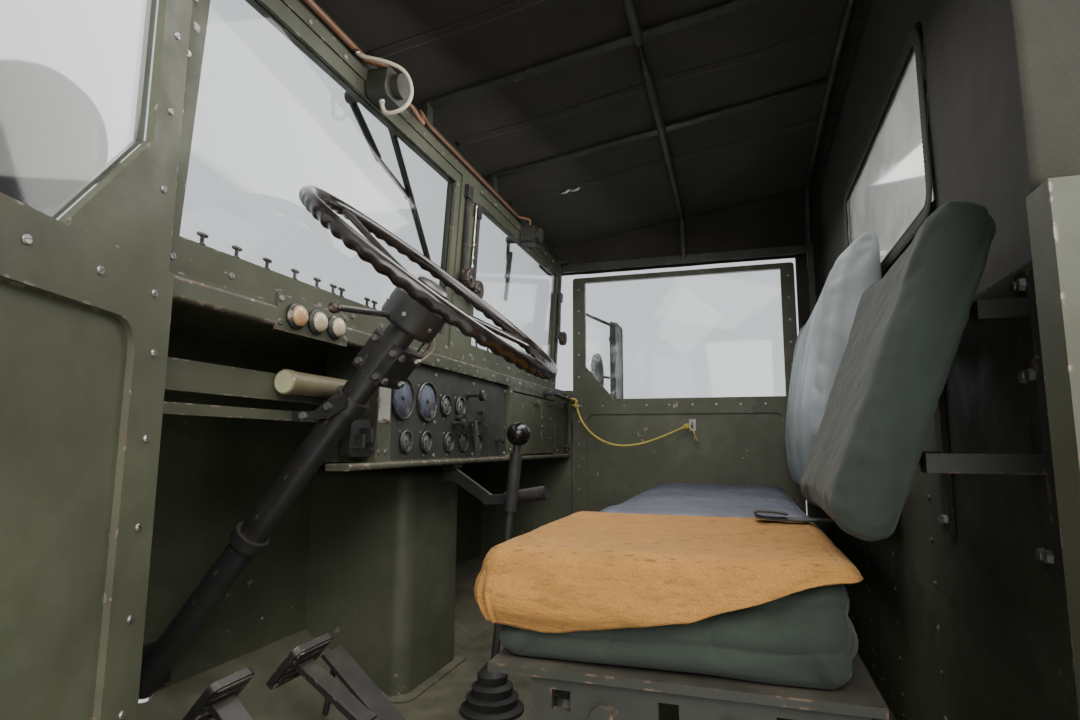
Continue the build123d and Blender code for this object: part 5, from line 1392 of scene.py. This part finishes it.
def spots_piece(name, spots):
    """Loose points that carry which way each faces and how large it is."""
    mesh = bpy.data.meshes.new(name)
    mesh.from_pydata([tuple(spot[0]) for spot in spots], [], [])
    facing = mesh.attributes.new("facing", "FLOAT_VECTOR", "POINT")
    facing.data.foreach_set("vector", [c for spot in spots for c in spot[1]])
    size = mesh.attributes.new("size", "FLOAT", "POINT")
    size.data.foreach_set("value", [spot[2] if len(spot) > 2 else 1.0 for spot in spots])
    return linked(name, mesh)


def plant(name, spots, tree, radius, height, finish, body="cab", slot="bare_steel"):
    """One head at each (place, facing, size); all of them become one mesh that rides on a body."""
    piece = spots_piece(name, spots)
    grown(piece, tree, {"Head radius": radius, "Head height": height, "Finish": finish})
    fit(piece, slot, body=body)


def line_of(a, b, count, facing):
    """Evenly spaced spots from a to b, ends included."""
    return [(Vector(a).lerp(Vector(b), k / (count - 1)), facing) for k in range(count)]


def leaned(place, degrees):
    """Moved to a place and turned round X."""
    return Matrix.Translation(place) @ Matrix.Rotation(radians(degrees), 4, "X")


HINGE, DOOR_REST = Vector((1.002, -0.508, 0.0)), -70      # the driver's door stands open
SWING = Matrix.Translation(HINGE) @ Matrix.Rotation(radians(DOOR_REST), 4, "Z") @ Matrix.Translation(-HINGE)
FLIP = Matrix.Scale(-1, 4, (1, 0, 0))
SCREEN_FOOT, SCREEN_LEAN = (0, -0.5714, 0.905), -3.4


def carried(spots, matrix):
    """Spots moved with a door: places by the whole matrix, facings by its turn only."""
    turn = matrix.to_3x3()
    return [(matrix @ Vector(s[0]), turn @ Vector(s[1]), *s[2:]) for s in spots]


def windscreen(x, y, z):
    """A point of the leaned windscreen: y out of its inner face, z up from the cowl."""
    return leaned(SCREEN_FOOT, SCREEN_LEAN) @ Vector((x, y, z))


FRONT, BACK, LEFT, RIGHTWARD, UPWARD = (0, -1, 0), (0, 1, 0), (1, 0, 0), (-1, 0, 0), (0, 0, 1)

# %% Rivets and bolts of the shell
REAR_WALL, REAR_OUTSIDE, FIREWALL, COWL_SIDE = 0.4297, 0.4551, -0.8927, 0.9849
RIVETS = line_of((-0.90, REAR_WALL, 0.845), (0.90, REAR_WALL, 0.845), 25, FRONT)
RIVETS += line_of((-0.90, REAR_WALL, 0.150), (0.90, REAR_WALL, 0.150), 19, FRONT)
for x in (-0.60, -0.30, 0.0, 0.30):
    RIVETS += line_of((x, REAR_WALL, 0.19), (x, REAR_WALL, 0.81), 10, FRONT)
RIVETS += line_of((-0.95, -0.80, 0.9049), (0.95, -0.80, 0.9049), 20, UPWARD)
for side in (-1, 1):
    RIVETS += line_of((side * 0.20, FIREWALL, 0.30), (side * 0.90, FIREWALL, 0.30), 8, BACK)
    RIVETS += line_of((side * COWL_SIDE, -0.86, 0.25), (side * COWL_SIDE, -0.86, 0.84), 10, (side, 0, 0))
RIVETS += line_of((-0.92, REAR_OUTSIDE, 0.86), (0.92, REAR_OUTSIDE, 0.86), 25, BACK)
plant("shell_rivets", RIVETS, DOME_RIVET, 0.0055, 0.0026, cab_paint, slot="cab_paint")


def pairs(centres, dxs, dys, facing=UPWARD, flat="z"):
    """Spots round each centre, one for every pair of steps; flat is the axis they don't leave."""
    axes = {"z": (0, 1), "y": (0, 2)}[flat]
    out = []
    for centre in centres:
        for dx in dxs:
            for dy in dys:
                spot = list(centre)
                spot[axes[0]] += dx
                spot[axes[1]] += dy
                out.append((tuple(spot), facing))
    return out


BOLTS = pairs([(0.400, 0, 0.1163), (0.752, 0, 0.1163)], (-0.012, 0.012), (-0.040, 0.045, 0.130))
BOLTS += pairs([(0.706, -0.430, 0.1183), (0.500, -0.400, 0.1183)], (-0.020, 0.020), (-0.024, 0.024))
BOLTS += [((0.590 + s * 0.0335, y, z), (s, 0, 0))
          for s in (1, -1) for y, z in ((-0.560, 0.733), (-0.512, 0.748))]
BOLTS += pairs([(0.410, 0.4213, 0), (0.742, 0.4213, 0)], (-0.008, 0.008), (0.580, 0.760, 0.855), FRONT, "y")
plant("bolt_heads", BOLTS, HEX_BOLT, 0.0075, 0.0052, bare_steel)

# %% Screws of the dash and the windscreen
DASH_Y, PANEL_Y = -0.522, -0.5343


def on_plane(y, *grids):
    """Spots on an upright plane that face the driver: every x with every z of each grid."""
    return [((x, y, z), BACK) for xs, zs in grids for x in xs for z in zs]


DASH_SCREWS = line_of((-0.92, DASH_Y, 0.878), (0.44, DASH_Y, 0.878), 13, BACK)
DASH_SCREWS += on_plane(DASH_Y, ((-0.92, -0.78), (0.668,)), ((-0.277, 0.425, 0.448), (0.672, 0.845)),
                        ((0.573, 0.737), (0.870, 0.906)))
DASH_SCREWS += on_plane(PANEL_Y, ((-0.255, -0.020, 0.198, 0.396), (0.662, 0.737, 0.846)))
DIALS = ((0.347, 0.782, 0.046), (0.239, 0.782, 0.046), (0.146, 0.780, 0.027), (0.064, 0.780, 0.027),
         (0.329, 0.693, 0.025), (0.241, 0.693, 0.025), (0.125, 0.693, 0.025), (0.039, 0.693, 0.025),
         (-0.050, 0.693, 0.025))
for x, z, r in DIALS:
    for a in (40, 160, 280):
        spot = (x + (r + 0.006) * cos(radians(a)), PANEL_Y, z + (r + 0.006) * sin(radians(a)))
        DASH_SCREWS.append((spot, BACK, 0.6))
plant("dash_screws", DASH_SCREWS, SLOTTED_SCREW, 0.0048, 0.0024, bare_steel)
FRAME_SCREWS = []
out = (windscreen(0, 1, 0) - windscreen(0, 0, 0)).normalized()
FRAME_LINES = [(a, z, b, z, 9) for a, b in ((0.075, 0.890), (-0.890, -0.075)) for z in (0.026, 0.497)]
FRAME_LINES += [(x, 0.06, x, 0.46, 6) for x in (-0.908, 0.908)]
for xa, za, xb, zb, count in FRAME_LINES:
    FRAME_SCREWS += line_of(windscreen(xa, 0, za), windscreen(xb, 0, zb), count, out)
FRAME_SCREWS += [(windscreen(x, 0, z), out) for x in (-0.018, 0.018) for z in (0.08, 0.20, 0.32, 0.44)]
plant("windscreen_screws", FRAME_SCREWS, SLOTTED_SCREW, 0.0050, 0.0022, bare_steel)

# %% Screws of the doors
TRIM = []
for x, ya, za, yb, zb, count in (
        (0.9470, -0.470, 0.842, 0.315, 0.842, 10), (0.9470, -0.470, 0.092, 0.315, 0.092, 8),
        (0.9470, -0.478, 0.16, -0.478, 0.78, 8), (0.9470, 0.322, 0.16, 0.322, 0.66, 7),
        (0.9530, -0.480, 0.96, -0.480, 1.32, 5), (0.9530, 0.325, 0.90, 0.325, 1.32, 6)):
    TRIM += line_of((x, ya, za), (x, yb, zb), count, RIGHTWARD)
OUTSIDE = line_of((0.9901, -0.460, 0.830), (0.9901, 0.315, 0.830), 12, LEFT)
STRAPS = [((0.9963, y, z), LEFT, 1.3) for z in (0.250, 0.740) for y in (-0.470, -0.430, -0.380)]
for body, turn in (("door_swing_left", SWING), ("door_swing_right", FLIP)):
    side = body.split("_")[-1]
    plant(f"door_trim_screws_{side}", carried(TRIM, turn), SLOTTED_SCREW, 0.0042, 0.0020, bare_steel, body)
    plant(f"door_rivets_{side}", carried(OUTSIDE, turn), DOME_RIVET, 0.0045, 0.0024, door_paint, body,
          "door_paint")
    plant(f"door_bolts_{side}", carried(STRAPS, turn), HEX_BOLT, 0.0065, 0.0045, bare_steel, body)
LID_Y, LID = -0.5205, []
for x, z, w, h in ((-0.640, 0.796, 0.120, 0.044), (-0.640, 0.731, 0.120, 0.056),
                   (-0.450, 0.786, 0.150, 0.060)):
    LID += pairs([(x, LID_Y, z)], (0.008 - w / 2, w / 2 - 0.008), (0.008 - h / 2, h / 2 - 0.008), BACK, "y")
plant("plate_rivets", LID, DOME_RIVET, 0.0026, 0.0014, bare_steel, "glovebox_door")

# %% [markdown]
# ## The instruments
#
# Each instrument is a turned black bezel over a sunk dial of dull blue-grey, with a ring of
# pale marks, a needle and a domed glass. The bezel, the dial and the glass are profiles
# turned round one axis. The marks are one small bar repeated round a circle by Geometry
# Nodes: a mesh of points, each with its direction outwards, and longer bars at every fifth.

# %% Dial finish
def dial_paint(name, colour):
    """Printed dial: flat, a little faded and dusty in patches."""
    f = Finish(name, 0.7)
    base = f.mix(f.between(f.noise(45, 4), 0.35, 0.75), colour, tint(colour, 1.5, 0.02))
    f.set("Base Color", f.mix(f.between(f.noise(160, 3), 0.55, 0.75, 0, 0.25), base, (0.30, 0.28, 0.24)))
    return f.material


big_dial = dial_paint("big_dial", (0.18, 0.215, 0.30))
small_dial = dial_paint("small_dial", (0.26, 0.275, 0.255))
dial_mark = dial_paint("dial_mark", (0.62, 0.63, 0.58))
needle_paint = dial_paint("needle_paint", (0.60, 0.30, 0.10))

# %% Mark tree
def mark_tree():
    """A bar on every point, pointing the way the point faces, scaled by the point's size."""
    tree, given = new_tree("dial_marks", "Points", (("Mark length", 0.003), ("Mark width", 0.0006)), "Marks")
    size = vector(tree, X=given["Mark length"], Y=given["Mark width"], Z=0.0003)
    mark = wire(tree, "GeometryNodeMeshCube", None, {"Size": size}).outputs["Mesh"]
    upright = turned_to(tree, "Z", BACK)
    turn = turned_to(tree, "X", carried_value(tree, "facing", "FLOAT_VECTOR"), Rotation=upright)
    return finish_tree(tree, given["Finish"], given["Points"], mark, turn,
                       Scale=carried_value(tree, "size", "FLOAT"))


# %% Bezels, dials and glasses
def facing_driver(x, z, y=PANEL_Y):
    """Local Z of a turned piece laid along +Y, out of the dash."""
    return leaned((x, y, z), -90)


bezels, faces, glasses, needles, marks = [], [], [], [], []
for number, (x, z, r) in enumerate(DIALS):
    place = facing_driver(x, z)
    big = r > 0.04
    can, dial = r - 0.0055, r - 0.0075
    rim = [(0.0, -0.046), (can, -0.046), (can, 0.0006), (r, 0.0006), (r, 0.0035), (r - 0.0008, 0.0052),
           (r - 0.0022, 0.0066), (r - 0.0040, 0.0070), (r - 0.0055, 0.0064), (r - 0.0062, 0.0050),
           (r - 0.0068, 0.0016), (r - 0.0080, 0.0008), (0.0, 0.0008)]
    bezels.append(turned("bezel", rim, place, gauge_black, 48 if big else 32))
    card = [(0.0, 0.0009), (0.0, 0.0016), (dial, 0.0016), (dial, 0.0009)]
    faces.append(turned("dial", card, place, big_dial if big else small_dial, 40))
    dome = [(0.0, 0.0058 + r * 0.03), (dial * 0.5, 0.0056 + r * 0.024), (dial * 0.85, 0.0053 + r * 0.01),
            (dial + 0.0006, 0.0050), (dial + 0.0006, 0.0044), (0.0, 0.0044)]
    glasses.append(turned("glass", dome, place, lens_glass, 40))
    sweep, count = (270, 31) if big else (100, 11)
    for k in range(count):
        a = radians(90 + sweep / 2 - sweep * k / (count - 1))
        reach = dial * 0.88
        long = (r / 0.046) * (1.35 if k % 5 == 0 else 0.8)
        marks.append(((x + reach * cos(a), PANEL_Y + 0.0018, z + reach * sin(a)), (cos(a), 0, sin(a)), long))
    a = radians(90 + sweep / 2 - sweep * (0.0 if big else 0.12 + 0.1 * (number % 3)))
    side, ahead = Vector((-sin(a), 0, cos(a))), Vector((cos(a), 0, sin(a)))
    middle = Vector((x, PANEL_Y + 0.0028, z))
    flat = [middle + ahead * dial * share + side * r * half
            for share, half in ((-0.16, 0.035), (0.80, 0.006), (0.80, -0.006), (-0.16, -0.035))]
    box = [(0, 1, 2, 3), (7, 6, 5, 4), (0, 4, 5, 1), (1, 5, 6, 2), (2, 6, 7, 3), (3, 7, 4, 0)]
    thick = [p + Vector((0, 0.0005, 0)) for p in flat]
    needles.append(tidy(from_lists("needle", flat + thick, box, needle_paint, False)))
    boss = [(0.0, 0.0018), (r * 0.11, 0.0018), (r * 0.11, 0.0036), (r * 0.08, 0.0040), (0.0, 0.0040)]
    needles.append(turned("boss", boss, place, gauge_black, 16))

# %% Joining the instruments
fit(join_pieces("gauge_set", bezels + faces + needles, smooth=None), "gauge_black", "gauges")
fit(join_pieces("gauge_glass", glasses), "glass", "gauges")
dial_marks = spots_piece("dial_marks", marks)
grown(dial_marks, mark_tree(), {"Mark length": 0.0042, "Mark width": 0.0009, "Finish": dial_mark})
fit(dial_marks, "gauge_black")
print(len(DIALS), "instruments,", len(marks), "marks")

# %% [markdown]
# ## Warning lamps
#
# Three lamps stand in a row at the left of the dash. Each has a stepped dark ring and a domed
# lens of pale amber glass, cut inside with small prisms that show as a fine net of dots. The
# dome is turned; the prisms are a cell pattern in the finish, in both its colour and its bumps.

# %% Lamp lens finish
def prism_lens(name, colour):
    f = Finish(name, 0.12)
    cells = f.cells(850)
    f.set("Base Color", f.mix(f.between(cells, 0.15, 0.6), tint(colour, 1.25, 0.03), tint(colour, 0.55)))
    f.set("Transmission Weight", 0.25)
    f.set("Coat Weight", 0.8)
    f.set("Coat Roughness", 0.06)
    f.relief(cells, 0.5, 0.0008)
    return f.material


amber_lens = prism_lens("amber_lens", (0.78, 0.46, 0.20))
cream_lens = prism_lens("cream_lens", (0.80, 0.66, 0.46))

# %% Lamps
lamps = []
for x, lens in ((0.705, amber_lens), (0.655, cream_lens), (0.605, cream_lens)):
    place = facing_driver(x, 0.884, DASH_Y)
    collar = [(0.0, 0.0004), (0.0208, 0.0004), (0.0210, 0.0040), (0.0204, 0.0056), (0.0190, 0.0064),
              (0.0182, 0.0066), (0.0180, 0.0086), (0.0172, 0.0096), (0.0160, 0.0090), (0.0, 0.0085)]
    lamps.append(turned("collar", collar, place, black_enamel, 40))
    dome = [(0.0164 * cos(radians(a)), 0.0096 + 0.0094 * sin(radians(a))) for a in range(0, 91, 9)]
    lamps.append(turned("lens", [(0.0164, 0.0082)] + dome + [(0.0, 0.0082)], place, lens, 40))
fit(join_pieces("warning_lamps", lamps), "lamp_lens", "dash_lamps")

# %% [markdown]
# ## The steering wheel
#
# The rim is hard black plastic with finger grips: its underside goes in and out in shallow
# waves. Such a shape follows a rule, so the rim is a ring of sections whose depth is worked out
# from the angle round the wheel and the angle round the rim. The three spokes are flat steel
# arms under plastic, wider where they meet the hub.

# %% Wheel frame
WHEEL_MIDDLE = Vector((0.590, -0.338, 0.950))
WHEEL_LEAN = -38.97
WHEEL_FRAME = leaned(WHEEL_MIDDLE, WHEEL_LEAN)
RING_R, RIM_R, HUB_LOW, HUB_TOP = 0.2376, 0.012, -0.030, -0.012
GRIPS, ROUND, SECTION = 54, 540, 22

# %% Rim with finger grips
rows = []
for i in range(ROUND):
    u = 2 * pi * i / ROUND
    out = Vector((cos(u), sin(u), 0))
    wave = 0.5 - 0.5 * cos(GRIPS * u)
    row = []
    for k in range(SECTION):
        v = 2 * pi * k / SECTION
        under = max(0.0, cos(v + radians(70))) ** 0.8
        r = RIM_R * 1.04 - 0.0034 * wave * under
        row.append(WHEEL_FRAME @ (out * (RING_R + r * cos(v)) + Vector((0, 0, r * sin(v)))))
    rows.append(row)
rows.append([p.copy() for p in rows[0]])
rim = tidy(sheet_from_grid("rim", rows, wheel_plastic, closed=True))
print("rim", len(rim.data.polygons), "faces,", GRIPS, "grips")

# %% Spokes and hub
def spoke(angle):
    """A flat arm, rounded at its edges, from under the hub up to the rim."""
    along = Vector((cos(radians(angle)), sin(radians(angle)), 0))
    side = Vector((-along.y, along.x, 0))
    rows = []
    for t in spread(0.0, 1.0, 26):
        reach = 0.030 + (RING_R - 0.030) * t
        z = (HUB_LOW + 0.009) * (1 - t ** 1.35) + 0.0006
        half = 0.0185 - 0.0055 * sin(pi * min(1, t * 1.15)) + 0.004 * max(0, t - 0.85) / 0.15
        thick = 0.0052 - 0.0008 * t
        row = []
        for c, s in ring(16):
            flat = abs(c) ** 0.55 * (1 if c > 0 else -1) * half
            lift = z + abs(s) ** 0.75 * (1 if s > 0 else -1) * thick
            row.append(WHEEL_FRAME @ (along * reach + side * flat + Vector((0, 0, lift))))
        rows.append(row)
    return tidy(sheet_from_grid("spoke", rows, wheel_plastic, closed=True))


HUB = [(0.0, HUB_TOP - 0.001), (0.032, HUB_TOP), (0.038, HUB_TOP - 0.001), (0.0425, HUB_TOP - 0.0045),
       (0.0440, HUB_TOP - 0.009), (0.0440, HUB_LOW + 0.003), (0.0425, HUB_LOW), (0.0125, HUB_LOW)]
hub = turned("hub", HUB, WHEEL_FRAME, wheel_plastic, 48)
wheel = join_pieces("steering_wheel_grip", [rim, spoke(270), spoke(30), spoke(150), hub])
fit(wheel, "black_plastic", "steering_wheel", body="steering")

# %% [markdown]
# ## Round the steering column
#
# Under the wheel sits a signal switch with its wires. A clamp of folded steel, bolted on two
# sides, holds the jacket. The wires are short fixed loops from the switch to the jacket.

# %% Clamp bolts and wires
def on_column(x, y, z):
    return WHEEL_FRAME @ Vector((x, y, z))


def column_facing(x, y, z):
    return WHEEL_FRAME.to_3x3() @ Vector((x, y, z))


CLAMP_BOLTS = [(on_column(x, 0.0341, z), column_facing(0, 1, 0)) for x in (-0.042, 0.010)
               for z in (-0.178, -0.130)]
CLAMP_BOLTS += [(on_column(0.0201, y, z), column_facing(1, 0, 0)) for y in (-0.020, 0.024)
                for z in (-0.178, -0.130)]
HOUSING_SCREWS = []
for a in (15, 75, 135, 255, 315):
    c, s = cos(radians(a)), sin(radians(a))
    HOUSING_SCREWS.append((on_column(0.0500 * c, 0.0500 * s, -0.064), column_facing(c, s, 0), 0.7))
plant("clamp_bolts", CLAMP_BOLTS, HEX_BOLT, 0.0070, 0.0055, bare_steel)
plant("housing_screws", HOUSING_SCREWS, SLOTTED_SCREW, 0.0055, 0.0024, bare_steel)
wires = []
for shift, finish in ((0.0, pipe_brown), (0.010, pale_hose), (-0.012, black_plastic)):
    LOOP = ((-0.044, 0.022 + shift, -0.080), (-0.056, 0.030 + shift, -0.092), (-0.060, 0.026 + shift, -0.112),
            (-0.046, 0.030 + shift * 0.6, -0.128), (-0.036, 0.022 + shift * 0.4, -0.146))
    wires.append(tube("wire", smooth_route([on_column(*spot) for spot in LOOP], 8), 0.0019, finish, 8))
fit(join_pieces("switch_wires", wires), "black_plastic")

# %% [markdown]
# ## Studs under the windscreen
#
# Along the foot of the windscreen stand short black studs with a cross head, which take the
# eyelets of a winter cover. Each is a stem with a bar across: one turned stem and one rounded
# bar, repeated by a list of places.

# %% Cover studs
def cover_stud(foot, up, across):
    """A stem with a T head."""
    up, across = Vector(up).normalized(), Vector(across).normalized()
    place = Matrix.Translation(foot) @ Matrix((across, up.cross(across), up)).transposed().to_4x4()
    profile = [(0.0, 0.0), (0.0052, 0.0), (0.0052, 0.0015), (0.0028, 0.0022), (0.0028, 0.0125), (0.0, 0.0125)]
    bar = [place @ Vector((s, 0, 0.0145)) for s in spread(-0.0085, 0.0085, 7)]
    thick = [0.0022, 0.0032, 0.0034, 0.0034, 0.0034, 0.0032, 0.0022]
    return [turned("stem", profile, place, black_plastic, 12), tube("bar", bar, thick, black_plastic, 10)]


STUDS_AT = (0.840, 0.776, 0.712, 0.646, 0.587, 0.540, 0.514, 0.428, 0.401, 0.300, 0.215, 0.130)
stud_parts = []
upward = windscreen(0, 0, 1) - windscreen(0, 0, 0)
for x in STUDS_AT:
    for sign in (1, -1):
        stud_parts += cover_stud(windscreen(sign * x, -0.0078, 0.0570), upward, LEFT)
fit(join_pieces("cover_studs", stud_parts), "black_metal")

# %% Clamp knobs and slide rod of the pane arms
KNOB_PROFILE = ((0.0, 0, 0), (0.94, 0, 0.6), (1.0, 0.12, 1), (1.0, 0.80, 1), (0.93, 0.97, 0.6),
                (0.80, 1.0, 0), (0.62, 0.86, 0), (0.34, 0.84, 0), (0.30, 1.02, 0), (0.0, 1.06, 0))
KNOB_SIDES, FLUTES = 120, 18      # the profile's columns are the radius, the height and the flutes


def fluted(place, radius, deep):
    """A knob whose rim goes in and out in flutes, with a sunk face and a boss in the middle."""
    rows = []
    for r, z, share in KNOB_PROFILE:
        row = []
        for k, (c, s) in enumerate(ring(KNOB_SIDES)):
            at = radius * r * (1 - 0.055 * share * (0.5 - 0.5 * cos(FLUTES * 2 * pi * k / KNOB_SIDES)))
            row.append(place @ Vector((at * c, at * s, deep * z)))
        rows.append(row)
    return tidy(sheet_from_grid("knob", rows, dark_knob, closed=True))


arm_parts = []
for x, z in ((0.024, 0.218), (-0.036, 0.200), (-0.912, 0.210)):
    arm_parts.append(fluted(leaned(windscreen(x, 0.0125, z), SCREEN_LEAN - 90), 0.0275, 0.0215))
ROD, SWELL = 0.0017, 0.0042
rod_top, rod_foot = windscreen(-0.008, 0.016, 0.434), windscreen(-0.008, 0.016, 0.252)
swell = [SWELL if k in (1, 2, 24, 25, 32, 33, 37, 38) else ROD for k in range(40)]
bent = [windscreen(-0.008, 0.0, 0.440), windscreen(-0.008, 0.012, 0.439)]
bent += [rod_top.lerp(rod_foot, k / 39) for k in range(40)]
bent += [windscreen(-0.008, 0.012, 0.247), windscreen(-0.008, 0.0, 0.246)]
arm_parts.append(tube("rod", bent, [ROD] * 2 + swell + [ROD] * 2, bright_ring, 12))
fit(join_pieces("arm_knobs", arm_parts), "black_metal")

# %% Blank plate and roof clip
plate_paint = paint("plate_paint", (0.34, 0.34, 0.30), rough=0.5, wear=0.3, dust=0.2)
blank_plate = rounded_slab("blank_plate", (0.414, -0.5222, 0.727), (0.456, -0.5208, 0.803), 0.0, 0.0006, 6)
coat(blank_plate.data, plate_paint)
fit(blank_plate, "cab_paint")
PLATE_RIVETS = on_plane(-0.5210, ((0.419, 0.451), (0.732, 0.798)))
plant("blank_plate_rivets", PLATE_RIVETS, DOME_RIVET, 0.0026, 0.0014, bare_steel)
CLIP_FRONT, CLIP_BACK = -0.420, -0.346
rows = []
for y in spread(CLIP_FRONT, CLIP_BACK, 25):
    lift = 0.006 * abs(sin(pi * (y - CLIP_FRONT) / 0.037)) + 0.002
    rows.append([roof_point(-0.439 + s, y) - Vector((0, 0, lift + 0.001 * (s / 0.007) ** 2))
                 for s in spread(-0.007, 0.007, 5)])
roof_clip = sheet_from_grid("roof_clip", rows, bright_ring)
thicken(roof_clip, 0.0014)
fit(roof_clip, "bare_steel")

# %% [markdown]
# ## The slack air hose
#
# A pale hose runs slack from the air pipe behind the header down to the left wiper motor. It is
# free between its two ends, so it is a spline on the route of the CAD tube, with a collar at
# each end. It is about a quarter of a metre long and 8 mm thick, of medium stiffness.

# %% Air hose
HOSE_THICK = 0.008
HOSE_ROUTE = [(0.552, -0.541, 1.4327), (0.552, -0.534, 1.4215), (0.532, -0.497, 1.4190),
              (0.504, -0.465, 1.4120), (0.477, -0.462, 1.3940), (0.473, -0.464, 1.3667),
              (0.483, -0.478, 1.3380), (0.493, -0.518, 1.3300), (0.493, -0.5181, 1.36405)]
hose_line, hose_length = even(smooth_route(HOSE_ROUTE), 0.004)
air_hose = tube("air_hose", hose_line, HOSE_THICK / 2, pale_hose, 16)
collars = [tube("collar", [hose_line[k] for k in span], 0.0058, bright_ring, 16)
           for span in ((0, 1, 2), (-3, -2, -1))]
hose_collars = join_pieces("hose_collars", collars)
fit(air_hose, "pale_hose", "wiper_hose")
fit(hose_collars, "bare_steel")
tuple(hose_line[0])
[tuple(p) for p in hose_line]
print("air hose", round(hose_length, 3), "m")

# %% [markdown]
# ## Seams and stitches
#
# The hood's panels are sewn with a doubled strip inside each seam, and its clear rear window
# with a binding all round. A stitch is a short fat thread that dips in at both ends. Geometry
# Nodes put points along each seam line at the pitch of the stitches and one stitch, turned
# along the line, at every point, so the stitches follow the slack of the cloth.

# %% Stitch tree
def stitch_tree():
    """Stitches along the edges of a mesh: pitch, length and thickness are inputs."""
    sizes = (("Pitch", 0.008), ("Stitch length", 0.005), ("Thread", 0.0008))
    tree, given = new_tree("stitches", "Seam line", sizes, "Stitches")
    curve = wire(tree, "GeometryNodeMeshToCurve", None, {"Mesh": given["Seam line"]}).outputs[0]
    dots = wire(tree, "GeometryNodeCurveToPoints", {"mode": "LENGTH"},
                {"Curve": curve, "Length": given["Pitch"]})
    ball = wire(tree, "GeometryNodeMeshUVSphere", None,
                {"Segments": 6, "Rings": 4, "Radius": 1.0}).outputs["Mesh"]
    size = vector(tree, X=given["Thread"], Y=given["Thread"], Z=times(tree, given["Stitch length"], 0.5))
    stitch = wire(tree, "GeometryNodeTransform", None, {"Geometry": ball, "Scale": size}).outputs[0]
    turn = turned_to(tree, "Z", dots.outputs["Tangent"])
    return finish_tree(tree, given["Finish"], dots.outputs["Points"], stitch, turn)


STITCHES = stitch_tree()
hood_thread = cloth("hood_thread", (0.20, 0.19, 0.13), 0.0006)


def sew(name, lines):
    """Stitches along some lines of points."""
    points, edges = [], []
    for line in lines:
        first = len(points)
        points += [tuple(p) for p in line]
        edges += [(first + k, first + k + 1) for k in range(len(line) - 1)]
    mesh = bpy.data.meshes.new(name)
    mesh.from_pydata(points, edges, [])
    piece = linked(name, mesh)
    grown(piece, STITCHES, {"Pitch": 0.0085, "Stitch length": 0.0060, "Thread": 0.0008,
                            "Finish": hood_thread})
    fit(piece, "canvas")
    return piece


# %% Hood seams
def under_roof(x, y, drop):
    return roof_point(x, y) - Vector((0, 0, drop))


STRIP_HALF = 0.016
UNDER, OVER = 0.0026, -0.0011      # stitches below and above the canvas
strips, seam_lines = [], []
for x in (-0.43, 0.0, 0.43):
    rows = [[under_roof(x + s, y, 0.0016 + 0.0004 * (1 - (s / STRIP_HALF) ** 2))
             for s in spread(-STRIP_HALF, STRIP_HALF, 5)] for y in spread(-0.590, 0.440, 90)]
    strips.append(sheet_from_grid("strip", rows, hood_canvas))
    for s in (-0.012, 0.012):
        seam_lines += [[under_roof(x + s, y, drop) for y in spread(-0.588, 0.438, 90)]
                       for drop in (UNDER, OVER)]
for y in (-0.590, 0.436):
    seam_lines += [[under_roof(x, y, drop) for x in spread(-0.85, 0.85, 80)] for drop in (0.0012, OVER)]
seam_strips = join_pieces("seam_strips", strips)
thicken(seam_strips, 0.0010)
fit(seam_strips, "canvas")
hood_stitches = sew("hood_stitches", seam_lines)

# %% Rear window binding
def window_loop(grow, y):
    """A rounded rectangle round the rear window, that much larger than its opening."""
    half = WINDOW_HALF + grow
    return rounded_loop((-half, WINDOW_LOW - grow), (half, WINDOW_HIGH + grow), 0.030 + grow, 8,
                        lambda x, z: Vector((x, y, z)))


bands = []
for y, way in ((0.4425, -1), (0.4545, 1)):
    rows = [[p + Vector((0, way * up, 0)) for p in window_loop(grow, y)]
            for grow, up in ((-0.006, 0.0), (-0.004, 0.0012), (0.008, 0.0016), (0.020, 0.0012), (0.022, 0.0))]
    bands.append(sheet_from_grid("band", rows, webbing, closed=True))
window_binding = join_pieces("window_binding", bands)
thicken(window_binding, 0.0010)
fit(window_binding, "canvas")
loops = [window_loop(grow, y) for grow in (-0.001, 0.017) for y in (0.4400, 0.4570)]
window_stitches = sew("window_stitches", [loop + loop[:1] for loop in loops])

down = [line_length([row[k] for row in whole]) for k in (0, 90, len(whole[0]) // 2)]
roof_flat = (max(line_length(row) for row in whole), max(down))
around = [wall_point(kind, value, 1.0, 0.0) for kind, value in plan]
wall_flat = (2 * line_length(around), line_length([wall_point("back", 0.5, t, b) for t, b in upper + lower]))

new_low, new_high = (list(corner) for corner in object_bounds())
print("scene box", [round(v, 3) for v in new_low], [round(v, 3) for v in new_high])
